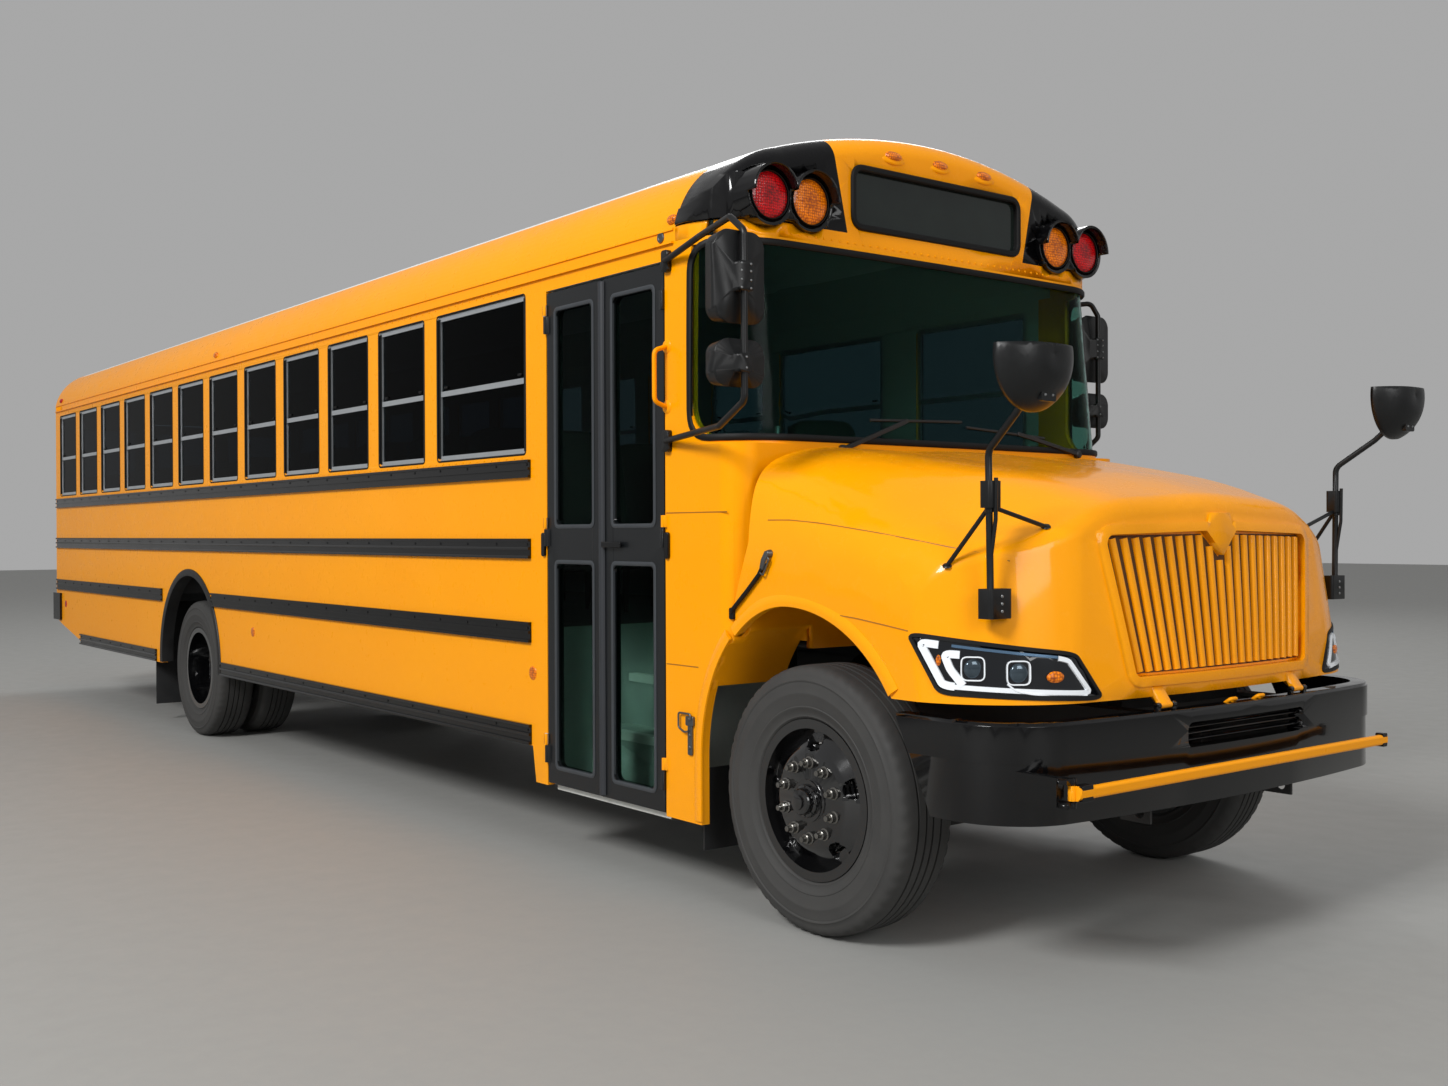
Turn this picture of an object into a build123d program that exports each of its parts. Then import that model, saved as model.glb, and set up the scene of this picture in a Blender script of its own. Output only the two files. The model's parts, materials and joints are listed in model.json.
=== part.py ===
from build123d import *
import os
from math import hypot

os.makedirs("parts", exist_ok=True)

# Frame: X forward, Y to the driver's side, Z up from the ground, all in millimetres.
# Lengthwise sizes are stations, measured forward from a datum just ahead of the front axle.
datum_x = 5050
front_wheel_x = -40
wheelbase = 7010

# Body shell
half_width = 1219
wall = 40
body_rear = -11150
rear_cap_length = 250
door_rear_jamb = -1838
door_front_jamb = -877
sill_z = 330
skirt_z = 500
header_z = 2731
shoulder_z = 2790
roof_z = 3260
cap_rear = -800
floor_z = 1075
floor_thickness = 30
cab_front = -373
windshield_lean = 81
rail_top_z = 880
cowl_top_z = 1880
corner_radius = 300
cowl_radius = 120

# Wheel openings: the rear one in the side wall, the front one round the steered wheel
rear_arch_x = -7100
rear_arch_z = 555
rear_arch_radius = 670
front_arch_x = -115
front_arch_z = 600
front_arch_height = 642
front_arch_rear = 517
front_arch_front = 657
wheel_well_inner_y = 830

# Side windows: the first is wide, the rest repeat at one pitch
window_sill_z = 1905
window_head_z = 2675
window_mid_z = 2262
first_window_front = -2033
first_window_width = 928
window_pitch_start = -3115
window_pitch = 728
window_width = 578
window_count = 12
driver_window_front = -960
driver_window_width = 800
frame_bar = 28

# Doors
leaf_gap = 8
leaf_meeting_gap = 12
leaf_bottom_z = 345
leaf_top_z = 2650
leaf_thickness = 40
door_bar = 78
emergency_half_width = 335
emergency_bottom_z = 1050
emergency_top_z = 2640
hinge_radius = 8
hinge_heights = (480, 1500, 2500)
door_hinge_y = -1229
emergency_hinge_x = -11168
emergency_hinge_y = -(emergency_half_width + 2)

# Wheels and tyres
axle_z = 510
tyre_radius = 510
tyre_width = 279
rim_bead_radius = 286
front_tyre_y = 1035
rear_outer_y = 1060
rear_inner_y = 730
kingpin_y = 950
hand_hole_circle = 222
hand_hole_radius = 38


def at(station):
    """Row X of a station measured forward from the datum."""
    return datum_x + station


def roof_section(inset=0):
    """Closed cross-section of the roof above the gutter, drawn inwards by the inset."""
    w = half_width - inset
    bend = (1150 - inset * 0.95, 2952 - inset * 0.4)
    edge = (900 - inset * 0.5, 3120 - inset * 0.87)
    with BuildSketch(mode=Mode.PRIVATE) as section:
        with BuildLine():
            Polyline((-w, shoulder_z), (-w, header_z), (w, header_z), (w, shoulder_z))
            ThreePointArc((w, shoulder_z), bend, edge)
            ThreePointArc(edge, (0, roof_z - inset), (-edge[0], edge[1]))
            ThreePointArc((-edge[0], edge[1]), (-bend[0], bend[1]), (-w, shoulder_z))
        make_face()
    return section.sketch


def cab_plan(front, rear, inset=0, radius=corner_radius):
    """Closed plan of the rounded cab front, from a front station back to a rear one."""
    w = half_width - inset
    shoulder = front - 27 - inset
    with BuildSketch(mode=Mode.PRIVATE) as plan:
        with BuildLine():
            Polyline((at(shoulder), -w), (at(rear), -w), (at(rear), w), (at(shoulder), w))
            ThreePointArc((at(shoulder), w), (at(front - inset), 0), (at(shoulder), -w))
        make_face()
        fillet(plan.vertices().sort_by(Axis.X)[-2:], radius - inset)
    return plan.sketch


def front_arch(grow=0):
    """Closed side view of the front wheel opening: two quarter ellipses, longer ahead."""
    rear = front_arch_rear + grow
    front = front_arch_front + grow
    height = front_arch_height + grow
    centre = (at(front_arch_x), front_arch_z)
    with BuildSketch(mode=Mode.PRIVATE) as opening:
        with BuildLine():
            EllipticalCenterArc(centre, front, height, start_angle=0, arc_size=90)
            EllipticalCenterArc(centre, rear, height, start_angle=90, arc_size=90)
            Polyline((centre[0] - rear, front_arch_z), (centre[0] - rear, 200),
                     (centre[0] + front, 200), (centre[0] + front, front_arch_z))
        make_face()
    return opening.sketch


# Window openings of one side: station of the front edge, and the width
windows = [(first_window_front, first_window_width)]
for i in range(window_count - 1):
    windows.append((window_pitch_start - i * window_pitch, window_width))
driver_window = (driver_window_front, driver_window_width)

# Entry well: three treads between the door and the aisle, at equal rises
well_inner_y = -545
tread_depth = 205
first_tread_z = 345
tread_rise = (floor_z - first_tread_z) / 3
sheet = 15

# Floor: plate, cross sills, two long sills on the chassis rails, and the rear wheel housings
with BuildPart() as floor:
    with BuildSketch(Plane.XY.offset(floor_z - floor_thickness)):
        with BuildLine():
            w = half_width - wall
            Polyline((at(body_rear + wall), -w), (at(door_rear_jamb), -w),
                     (at(door_rear_jamb), well_inner_y), (at(door_front_jamb), well_inner_y),
                     (at(door_front_jamb), -w), (at(-640), -w), (at(-640), -820),
                     (at(cab_front), -820), (at(cab_front), 820), (at(-640), 820),
                     (at(-640), w), (at(body_rear + wall), w), close=True)
        make_face()
        add(cab_plan(cab_front, body_rear - 100, wall), mode=Mode.INTERSECT)
        with Locations((at(-wheelbase), 1015), (at(-wheelbase), -1015)):
            Rectangle(1320, 440, mode=Mode.SUBTRACT)
    extrude(amount=floor_thickness)
    sills = [-2300 - 720 * n for n in range(5)] + [-7900 - 720 * n for n in range(5)]
    with BuildSketch(Plane.XY.offset(floor_z - floor_thickness)):
        with Locations(*[(at(s), 0) for s in sills]):
            Rectangle(60, 2 * w)
    extrude(amount=-60)
    with BuildSketch(Plane.XY.offset(rail_top_z)):
        with Locations((at(-5900), 420), (at(-5900), -420)):
            Rectangle(9800, 70)
    extrude(amount=floor_z - floor_thickness - rail_top_z)
    for side in (-1, 1):
        with BuildSketch(Plane.XY.offset(floor_z)) as housing:
            with Locations((at(-wheelbase), side * 997)):
                Rectangle(1360, 364)
        extrude(amount=210)
        with BuildSketch(Plane.XY.offset(floor_z)) as cavity:
            with Locations((at(-wheelbase), side * 1005)):
                Rectangle(1320, 356)
        extrude(amount=195, mode=Mode.SUBTRACT)
floor.part.label = "floor"
export_step(floor.part, "parts/floor.step")

# Entry steps: three treads in a folded well between door and aisle
with BuildPart() as entry_steps:
    stairs = [(-half_width + wall, first_tread_z - sheet), (-half_width + wall, first_tread_z)]
    for n in range(3):
        riser_y = well_inner_y - sheet - (2 - n) * tread_depth
        stairs += [(riser_y, first_tread_z + n * tread_rise),
                   (riser_y, first_tread_z + (n + 1) * tread_rise)]
    stairs += [(well_inner_y, floor_z)]
    for n in (2, 1, 0):
        riser_y = well_inner_y - (2 - n) * tread_depth
        stairs += [(riser_y, first_tread_z + n * tread_rise - sheet)]
        if n > 0:
            stairs += [(riser_y - tread_depth, first_tread_z + n * tread_rise - sheet)]
    with BuildSketch(Plane.YZ.offset(at(door_rear_jamb))):
        with BuildLine():
            Polyline(*stairs, close=True)
        make_face()
    extrude(amount=door_front_jamb - door_rear_jamb)
    for station in (door_rear_jamb + sheet / 2, door_front_jamb - sheet / 2):
        with BuildSketch(Plane.XZ.offset(-well_inner_y)):
            with Locations((at(station), (first_tread_z - sheet + floor_z) / 2)):
                Rectangle(sheet, floor_z - first_tread_z + sheet)
        extrude(amount=half_width - wall + well_inner_y)
entry_steps.part.label = "entry_steps"
export_step(entry_steps.part, "parts/entry_steps.step")

# Side walls: one sheet a side from skirt to gutter, windows and rear wheel opening cut
for side, name in ((-1, "side_wall_right"), (1, "side_wall_left")):
    front = door_front_jamb
    with BuildPart() as side_wall:
        with BuildSketch(Plane.XZ.offset(-side * half_width)):
            with BuildLine():
                if side < 0:
                    Polyline((at(front), header_z), (at(front), leaf_top_z + 12),
                             (at(door_rear_jamb), leaf_top_z + 12), (at(door_rear_jamb), sill_z),
                             (at(-1945), sill_z), (at(-1975), skirt_z), (at(-10248), skirt_z),
                             (at(-10293), 539), (at(-10950), 660), (at(body_rear + wall), 700),
                             (at(body_rear + wall), header_z), close=True)
                else:
                    Polyline((at(front), header_z), (at(front), sill_z), (at(-1945), sill_z),
                             (at(-1975), skirt_z), (at(-10248), skirt_z), (at(-10293), 539),
                             (at(-10950), 660), (at(body_rear + wall), 700),
                             (at(body_rear + wall), header_z), close=True)
            make_face()
            with Locations((at(rear_arch_x), rear_arch_z)):
                Circle(rear_arch_radius, mode=Mode.SUBTRACT)
            with Locations((at(rear_arch_x), rear_arch_z - 300)):
                Rectangle(2 * rear_arch_radius, 600, mode=Mode.SUBTRACT)
            openings = windows if side < 0 else windows + [driver_window]
            for station, width in openings:
                with Locations((at(station - width / 2), (window_sill_z + window_head_z) / 2)):
                    RectangleRounded(width, window_head_z - window_sill_z, 30,
                                     mode=Mode.SUBTRACT)
        extrude(amount=side * wall)
        if side < 0:
            for z in hinge_heights:
                with BuildSketch(Plane.XY.offset(z + 45)):
                    with Locations((at(door_rear_jamb - 4), door_hinge_y + 6)):
                        Rectangle(20, 16)
                    with Locations((at(door_rear_jamb + 6), door_hinge_y)):
                        Circle(hinge_radius)
                extrude(amount=50)
    side_wall.part.label = name
    export_step(side_wall.part, "parts/" + name + ".step")

# Window frames: an aluminium ring with a mid rail in each opening
# Window panes: a fixed lower pane and an upper one, split by the mid rail
with BuildPart() as window_frames:
    for side in (-1, 1):
        openings = windows if side < 0 else windows + [driver_window]
        for station, width in openings:
            centre = (at(station - width / 2), (window_sill_z + window_head_z) / 2)
            with BuildSketch(Plane.XZ.offset(-side * (half_width - 8))):
                with Locations(centre):
                    RectangleRounded(width, window_head_z - window_sill_z, 30)
                upper = window_head_z - window_mid_z - 1.5 * frame_bar
                lower = window_mid_z - window_sill_z - 1.5 * frame_bar
                with Locations((centre[0], window_mid_z + frame_bar / 2 + upper / 2)):
                    Rectangle(width - 2 * frame_bar, upper, mode=Mode.SUBTRACT)
                with Locations((centre[0], window_sill_z + frame_bar + lower / 2)):
                    Rectangle(width - 2 * frame_bar, lower, mode=Mode.SUBTRACT)
            extrude(amount=side * 24)
window_frames.part.label = "window_frames"
export_step(window_frames.part, "parts/window_frames.step")

with BuildPart() as window_glass:
    for side in (-1, 1):
        openings = windows if side < 0 else windows + [driver_window]
        for station, width in openings:
            x = at(station - width / 2)
            with BuildSketch(Plane.XZ.offset(-side * (half_width - 17))):
                with Locations((x, window_mid_z + frame_bar / 2 + upper / 2)):
                    Rectangle(width - 2 * frame_bar, upper)
                with Locations((x, window_sill_z + frame_bar + lower / 2)):
                    Rectangle(width - 2 * frame_bar, lower)
            extrude(amount=side * 6)
    with BuildSketch(Plane.YZ.offset(at(body_rear + 14))):
        with Locations((-760, 2250), (760, 2250)):
            Rectangle(600, 640)
    extrude(amount=8)
window_glass.part.label = "window_glass"
export_step(window_glass.part, "parts/window_glass.step")

# Rub rails: three-ribbed black channels along each side, cut short of the rear wheel
rail_table = [  # front station, rear station, top z, height
    (-1985, -11110, 1876, 86),
    (-1985, -11110, 1496, 96),
    (-1985, -6584, 1094, 98),
    (-7759, -11110, 1094, 98),
    (-1985, -6378, 601, 96),
    (-7916, -10248, 601, 96),
]
rail_depth = 18
with BuildPart() as rub_rails:
    for side in (-1, 1):
        for start, end, top, height in rail_table:
            rib = height / 7
            with BuildSketch(Plane.YZ.offset(at(end))):
                with BuildLine():
                    ribs = [(side * half_width, top - height), (side * half_width, top)]
                    for n in range(3):
                        z = top - n * 3 * rib
                        ribs += [(side * (half_width + rail_depth), z),
                                 (side * (half_width + rail_depth), z - rib)]
                        if n < 2:
                            ribs += [(side * (half_width + 7), z - rib),
                                     (side * (half_width + 7), z - 3 * rib)]
                    Polyline(*ribs, close=True)
                make_face()
            extrude(amount=start - end)
rub_rails.part.label = "rub_rails"
export_step(rub_rails.part, "parts/rub_rails.step")

# Roof: one bowed sheet between the two end caps
with BuildPart() as roof:
    with BuildSketch(Plane.YZ.offset(at(body_rear + rear_cap_length))):
        add(roof_section())
        add(roof_section(wall), mode=Mode.SUBTRACT)
        Rectangle(2 * (half_width - wall), 2 * header_z + 20, mode=Mode.SUBTRACT)
    extrude(amount=cap_rear - body_rear - rear_cap_length)
roof.part.label = "roof"
export_step(roof.part, "parts/roof.step")

# Housings of the eight warning lamps: black pods with a brow, and a band round each front corner
cap_front = cab_front - windshield_lean
lamp_radius = 100
lamp_z = 2889
lamp_places = [(side * y, lamp_z) for side in (-1, 1) for y in (786, 1004)]
pod_radius = 124
pod_face = cap_front + 14
rear_pod_face = body_rear - 22
brow_depth = 48
with BuildPart() as lamp_band:
    with BuildSketch(Plane.XY.offset(lamp_z - 92)):
        add(cab_plan(cap_front + 12, -794, -10))
    extrude(amount=184)
    with BuildSketch(Plane.YZ.offset(at(-794))):
        add(roof_section(-10))
    extrude(amount=600, mode=Mode.INTERSECT)
    with BuildSketch(Plane.XY.offset(lamp_z - 200)):
        Rectangle(20000, 2 * 690)
    extrude(amount=400, mode=Mode.SUBTRACT)
    with BuildSketch(Plane.XY.offset(lamp_z - 200)):
        add(cab_plan(cap_front - 12, -900, 12))
    extrude(amount=400, mode=Mode.SUBTRACT)
with BuildPart() as lamp_housings:
    add(lamp_band.part)
    with BuildSketch(Plane.YZ.offset(at(pod_face))):
        with Locations(*lamp_places):
            Circle(pod_radius)
    extrude(amount=-110)
    with BuildSketch(Plane.YZ.offset(at(rear_pod_face))):
        with Locations(*lamp_places):
            Circle(pod_radius)
    extrude(amount=40)
    for face, depth in ((pod_face, brow_depth), (rear_pod_face, -brow_depth)):
        with BuildSketch(Plane.YZ.offset(at(face))):
            with Locations(*lamp_places):
                Circle(pod_radius)
                Circle(pod_radius - 12, mode=Mode.SUBTRACT)
            with Locations((0, lamp_z - 160)):
                Rectangle(3000, 320, mode=Mode.SUBTRACT)
        extrude(amount=depth)
    with BuildSketch(Plane.YZ.offset(at(pod_face - 60))):
        with Locations(*lamp_places):
            Circle(lamp_radius)
    extrude(amount=200, mode=Mode.SUBTRACT)
    with BuildSketch(Plane.YZ.offset(at(rear_pod_face + 20))):
        with Locations(*lamp_places):
            Circle(lamp_radius)
    extrude(amount=-200, mode=Mode.SUBTRACT)
lamp_housings.part.label = "lamp_housings"
export_step(lamp_housings.part, "parts/lamp_housings.step")

# Warning lamps: round lenses seated in the pods
with BuildPart() as warning_lamps:
    with BuildSketch(Plane.YZ.offset(at(pod_face - 60))):
        with Locations(*lamp_places):
            Circle(lamp_radius)
    extrude(amount=54)
    with BuildSketch(Plane.YZ.offset(at(rear_pod_face + 20))):
        with Locations(*lamp_places):
            Circle(lamp_radius)
    extrude(amount=-14)
warning_lamps.part.label = "warning_lamps"
export_step(warning_lamps.part, "parts/warning_lamps.step")

# Front cap: hollow moulding over the windshield, rounded in plan, with a recess for the sign
sign_half_width = 530
sign_low_z = 2824
sign_high_z = 3079
with BuildPart() as front_cap:
    with BuildSketch(Plane.YZ.offset(at(cap_rear))):
        add(roof_section())
    extrude(amount=cap_front - cap_rear)
    with BuildSketch(Plane.XY.offset(header_z)):
        add(cab_plan(cap_front, cap_rear - 50))
    extrude(amount=600, mode=Mode.INTERSECT)
    crown = front_cap.edges().filter_by(lambda e: e.bounding_box().max.X > at(cap_front - 40)
                                        and e.bounding_box().min.Z > shoulder_z)
    fillet(crown, 90)
    with BuildSketch(Plane.YZ.offset(at(cap_rear))):
        add(roof_section(wall))
    extrude(amount=cap_front - 150 - cap_rear, mode=Mode.SUBTRACT)
    with BuildSketch(Plane.YZ.offset(at(cap_front - 40))):
        with Locations((0, (sign_low_z + sign_high_z) / 2)):
            RectangleRounded(2 * sign_half_width, sign_high_z - sign_low_z, 40)
    extrude(amount=100, mode=Mode.SUBTRACT)
    add(lamp_housings.part, mode=Mode.SUBTRACT)
    add(warning_lamps.part, mode=Mode.SUBTRACT)
front_cap.part.label = "front_cap"
export_step(front_cap.part, "parts/front_cap.step")

# Rear wall and cap: flat panel with the emergency doorway and two windows
with BuildPart() as rear_wall:
    with BuildSketch(Plane.YZ.offset(at(body_rear))):
        with BuildLine():
            Polyline((-half_width, 700), (half_width, 700), (half_width, header_z),
                     (-half_width, header_z), close=True)
        make_face()
        with Locations((0, (emergency_bottom_z + emergency_top_z) / 2)):
            Rectangle(2 * emergency_half_width + 16, emergency_top_z - emergency_bottom_z + 16,
                      mode=Mode.SUBTRACT)
        with Locations((-760, 2250), (760, 2250)):
            Rectangle(600, 640, mode=Mode.SUBTRACT)
    extrude(amount=wall)
    with BuildSketch(Plane.YZ.offset(at(body_rear))):
        add(roof_section())
    extrude(amount=rear_cap_length)
    with BuildSketch(Plane.YZ.offset(at(body_rear + wall))):
        add(roof_section(wall))
    extrude(amount=rear_cap_length, mode=Mode.SUBTRACT)
    add(lamp_housings.part, mode=Mode.SUBTRACT)
    for z in (1250, 1845, 2440):
        with BuildSketch(Plane.XY.offset(z + 45)):
            with Locations((at(body_rear - 10), emergency_hinge_y - 8)):
                Rectangle(20, 16)
            with Locations((at(emergency_hinge_x), emergency_hinge_y)):
                Circle(hinge_radius)
        extrude(amount=50)
rear_wall.part.label = "rear_wall"
export_step(rear_wall.part, "parts/rear_wall.step")

# Cowl: lower cab front, cut round the front wheels, with a liner over each wheel and a
# step back at each lower corner for the hood's tail
hood_rear = -345
hood_tail = -430
tail_low_z = 1255
tail_high_z = 1480
with BuildPart() as wheel_liner:
    with BuildSketch(Plane.XY.offset(900)):
        add(cab_plan(cab_front, door_front_jamb, 0, cowl_radius))
    extrude(amount=500)
    with BuildSketch(Plane.XZ):
        add(front_arch(15))
    extrude(amount=1300, both=True, mode=Mode.INTERSECT)
    with BuildSketch(Plane.XY.offset(800)):
        Rectangle(20000, 2 * wheel_well_inner_y)
    extrude(amount=900, mode=Mode.SUBTRACT)
with BuildPart() as cowl:
    with BuildSketch(Plane.XY.offset(sill_z)):
        add(cab_plan(cab_front, door_front_jamb, 0, cowl_radius))
        add(cab_plan(cab_front, door_front_jamb - 200, wall, cowl_radius), mode=Mode.SUBTRACT)
    extrude(amount=cowl_top_z - sill_z)
    with BuildSketch(Plane.XY.offset(cowl_top_z - 25)):
        add(cab_plan(cab_front, door_front_jamb + 10, 15, cowl_radius))
        add(cab_plan(cab_front, door_front_jamb - 200, wall + 6), mode=Mode.SUBTRACT)
    extrude(amount=20)
    with BuildSketch(Plane.XY.offset(sill_z)):
        with Locations((at(door_front_jamb + 500), 0)):
            Rectangle(1100, 2240)
    extrude(amount=floor_z - floor_thickness - sill_z, mode=Mode.SUBTRACT)
    add(wheel_liner.part)
    for side in (-1, 1):
        with BuildSketch(Plane.XZ.offset(-side * 1300)):
            add(front_arch())
        extrude(amount=side * (1300 - wheel_well_inner_y + 1), mode=Mode.SUBTRACT)
        with BuildSketch(Plane.XZ.offset(-side * (wheel_well_inner_y + 12))):
            with BuildLine():
                Polyline((at(-520), floor_z), (at(cab_front - wall), floor_z),
                         (at(cab_front - wall), 1210), (at(-520), 1100), close=True)
            make_face()
        extrude(amount=side * 12)
    for side in (-1, 1):
        with BuildSketch(Plane.XZ.offset(-side * 1300)):
            with BuildLine():
                Polyline((at(hood_tail - 12), 1000), (at(hood_tail - 12), tail_low_z + 7),
                         (at(hood_rear - 12), tail_high_z + 7), (at(0), tail_high_z + 7),
                         (at(0), 1000), close=True)
            make_face()
        extrude(amount=side * 150, mode=Mode.SUBTRACT)
    for z in hinge_heights[:2]:
        with BuildSketch(Plane.XY.offset(z + 45)):
            with Locations((at(door_front_jamb + 4), door_hinge_y + 6)):
                Rectangle(20, 16)
            with Locations((at(door_front_jamb - 6), door_hinge_y)):
                Circle(hinge_radius)
        extrude(amount=50)
cowl.part.label = "cowl"
export_step(cowl.part, "parts/cowl.step")

# Windshield frame: leaning band round the cab front, opened for one wrapped pane
lean_height = header_z - cowl_top_z
lean_direction = (-windshield_lean, 0, lean_height)
lean_length = hypot(windshield_lean, lean_height)
with BuildPart() as windshield_opening:
    with BuildSketch(Plane.XZ.offset(-1400)) as opening_side:
        with BuildLine():
            Polyline((at(-700), 1912), (at(0), 1912), (at(0), 2700), (at(-700), 2700),
                     close=True)
        make_face()
        fillet(opening_side.vertices().sort_by(Axis.X)[:2].sort_by(Axis.Z)[0], 140)
        fillet(opening_side.vertices().sort_by(Axis.Z)[-2:].sort_by(Axis.X)[0], 50)
    extrude(amount=2800)
with BuildPart() as windshield_frame:
    with BuildSketch(Plane.XY.offset(cowl_top_z)):
        add(cab_plan(cab_front, -1200))
        add(cab_plan(cab_front, -1300, wall), mode=Mode.SUBTRACT)
    extrude(amount=lean_length, dir=lean_direction)
    with BuildSketch(Plane.XY.offset(cowl_top_z)):
        with Locations((at(door_front_jamb - 500), 0)):
            Rectangle(1000, 3000)
    extrude(amount=lean_height, mode=Mode.SUBTRACT)
    add(windshield_opening.part, mode=Mode.SUBTRACT)
windshield_frame.part.label = "windshield_frame"
export_step(windshield_frame.part, "parts/windshield_frame.step")

with BuildPart() as windshield_glass:
    with BuildSketch(Plane.XY.offset(cowl_top_z)):
        add(cab_plan(cab_front, -1200, 12))
        add(cab_plan(cab_front, -1300, 20), mode=Mode.SUBTRACT)
    extrude(amount=lean_length, dir=lean_direction)
    add(windshield_opening.part, mode=Mode.INTERSECT)
windshield_glass.part.label = "windshield_glass"
export_step(windshield_glass.part, "parts/windshield_glass.step")

# Entry door: two outward-opening leaves, each a frame with an upper and a lower pane
door_width = door_front_jamb - door_rear_jamb
leaf_width = (door_width - 2 * leaf_gap - leaf_meeting_gap) / 2
leaf_table = [  # name, front station of the leaf
    ("front", door_front_jamb - leaf_gap),
    ("rear", door_rear_jamb + leaf_gap + leaf_width),
]
leaf_panes = [(430, 1380), (1560, 2560)]
for name, leaf_front in leaf_table:
    centre_x = at(leaf_front - leaf_width / 2)
    with BuildPart() as door_leaf:
        with BuildSketch(Plane.XZ.offset(half_width)):
            with Locations((centre_x, (leaf_bottom_z + leaf_top_z) / 2)):
                Rectangle(leaf_width, leaf_top_z - leaf_bottom_z)
            for low, high in leaf_panes:
                with Locations((centre_x, (low + high) / 2)):
                    RectangleRounded(leaf_width - 2 * door_bar, high - low, 35,
                                     mode=Mode.SUBTRACT)
        extrude(amount=-leaf_thickness)
        hinge_x = at(door_front_jamb - 6) if name == "front" else at(door_rear_jamb + 6)
        toward_leaf = -1 if name == "front" else 1
        for z in hinge_heights:
            with BuildSketch(Plane.XY.offset(z - 40)):
                with Locations((hinge_x, door_hinge_y)):
                    Circle(hinge_radius)
                with Locations((hinge_x + toward_leaf * 10, door_hinge_y + 6)):
                    Rectangle(20, 16)
            extrude(amount=80)
    door_leaf.part.label = "door_leaf_" + name
    export_step(door_leaf.part, "parts/door_leaf_" + name + ".step")
    with BuildPart() as door_glass:
        with BuildSketch(Plane.XZ.offset(half_width - 17)):
            for low, high in leaf_panes:
                with Locations((centre_x, (low + high) / 2)):
                    RectangleRounded(leaf_width - 2 * door_bar, high - low, 35)
        extrude(amount=-6)
    door_glass.part.label = "door_glass_" + name
    export_step(door_glass.part, "parts/door_glass_" + name + ".step")

# Emergency door in the rear wall, hinged at the right
with BuildPart() as emergency_door:
    with BuildSketch(Plane.YZ.offset(at(body_rear - 8))):
        with Locations((0, (emergency_bottom_z + emergency_top_z) / 2)):
            Rectangle(2 * emergency_half_width, emergency_top_z - emergency_bottom_z)
        with Locations((0, 2220)):
            RectangleRounded(500, 680, 50, mode=Mode.SUBTRACT)
        with Locations((0, 1440)):
            RectangleRounded(500, 420, 50, mode=Mode.SUBTRACT)
    extrude(amount=wall)
    for z in (1250, 1845, 2440):
        with BuildSketch(Plane.XY.offset(z - 40)):
            with Locations((at(body_rear - 13), -emergency_half_width + 6)):
                Rectangle(14, 16)
            with Locations((at(emergency_hinge_x), emergency_hinge_y)):
                Circle(hinge_radius)
        extrude(amount=80)
emergency_door.part.label = "emergency_door"
export_step(emergency_door.part, "parts/emergency_door.step")
with BuildPart() as emergency_glass:
    with BuildSketch(Plane.YZ.offset(at(body_rear + 8))):
        with Locations((0, 2220)):
            RectangleRounded(500, 680, 50)
        with Locations((0, 1440)):
            RectangleRounded(500, 420, 50)
    extrude(amount=6)
emergency_glass.part.label = "emergency_glass"
export_step(emergency_glass.part, "parts/emergency_glass.step")

# Seats: twelve benches a side, each carried by the wall and by a leg frame at the aisle
bench_rows = 12
bench_start = -2650
bench_pitch = 715
bench_outer_y = half_width - wall
bench_inner_y = 190
with BuildPart() as passenger_seats:
    for side in (-1, 1):
        for row in range(bench_rows):
            x = at(bench_start - row * bench_pitch)
            with BuildSketch(Plane.XZ.offset(-side * bench_outer_y)):
                with BuildLine():
                    Polyline((x, 1330), (x + 400, 1350), (x + 400, 1450), (x + 60, 1430),
                             (x - 40, 2090), (x - 120, 2080), (x - 60, 1330), close=True)
                make_face()
            extrude(amount=side * (bench_outer_y - bench_inner_y))
            with BuildSketch(Plane.XZ.offset(-side * (bench_inner_y + 60))):
                with BuildLine():
                    Polyline((x + 20, floor_z), (x + 330, floor_z), (x + 330, 1350),
                             (x + 20, 1335), close=True)
                make_face()
                with Locations((x + 175, 1170)):
                    Rectangle(230, 220, mode=Mode.SUBTRACT)
            extrude(amount=side * 30)
passenger_seats.part.label = "passenger_seats"
export_step(passenger_seats.part, "parts/passenger_seats.step")

with BuildPart() as driver_seat:
    with BuildSketch(Plane.XZ.offset(-350)):
        with BuildLine():
            Polyline((at(-1880), 1330), (at(-1400), 1360), (at(-1400), 1470), (at(-1760), 1450),
                     (at(-1900), 2180), (at(-2000), 2165), (at(-1900), 1330), close=True)
        make_face()
    extrude(amount=-500)
    with BuildSketch(Plane.XY.offset(floor_z)):
        with Locations((at(-1640), 600)):
            Rectangle(300, 260)
    extrude(amount=315)
driver_seat.part.label = "driver_seat"
export_step(driver_seat.part, "parts/driver_seat.step")

# Dashboard and steering wheel
with BuildPart() as dashboard:
    with BuildSketch(Plane.XZ.offset(700)):
        with BuildLine():
            Polyline((at(-440), 1330), (at(-440), 1845), (at(-560), 1850), (at(-720), 1740),
                     (at(-700), 1560), (at(-560), 1330), close=True)
        make_face()
    extrude(amount=-1600)
dashboard.part.label = "dashboard"
export_step(dashboard.part, "parts/dashboard.step")

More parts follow.
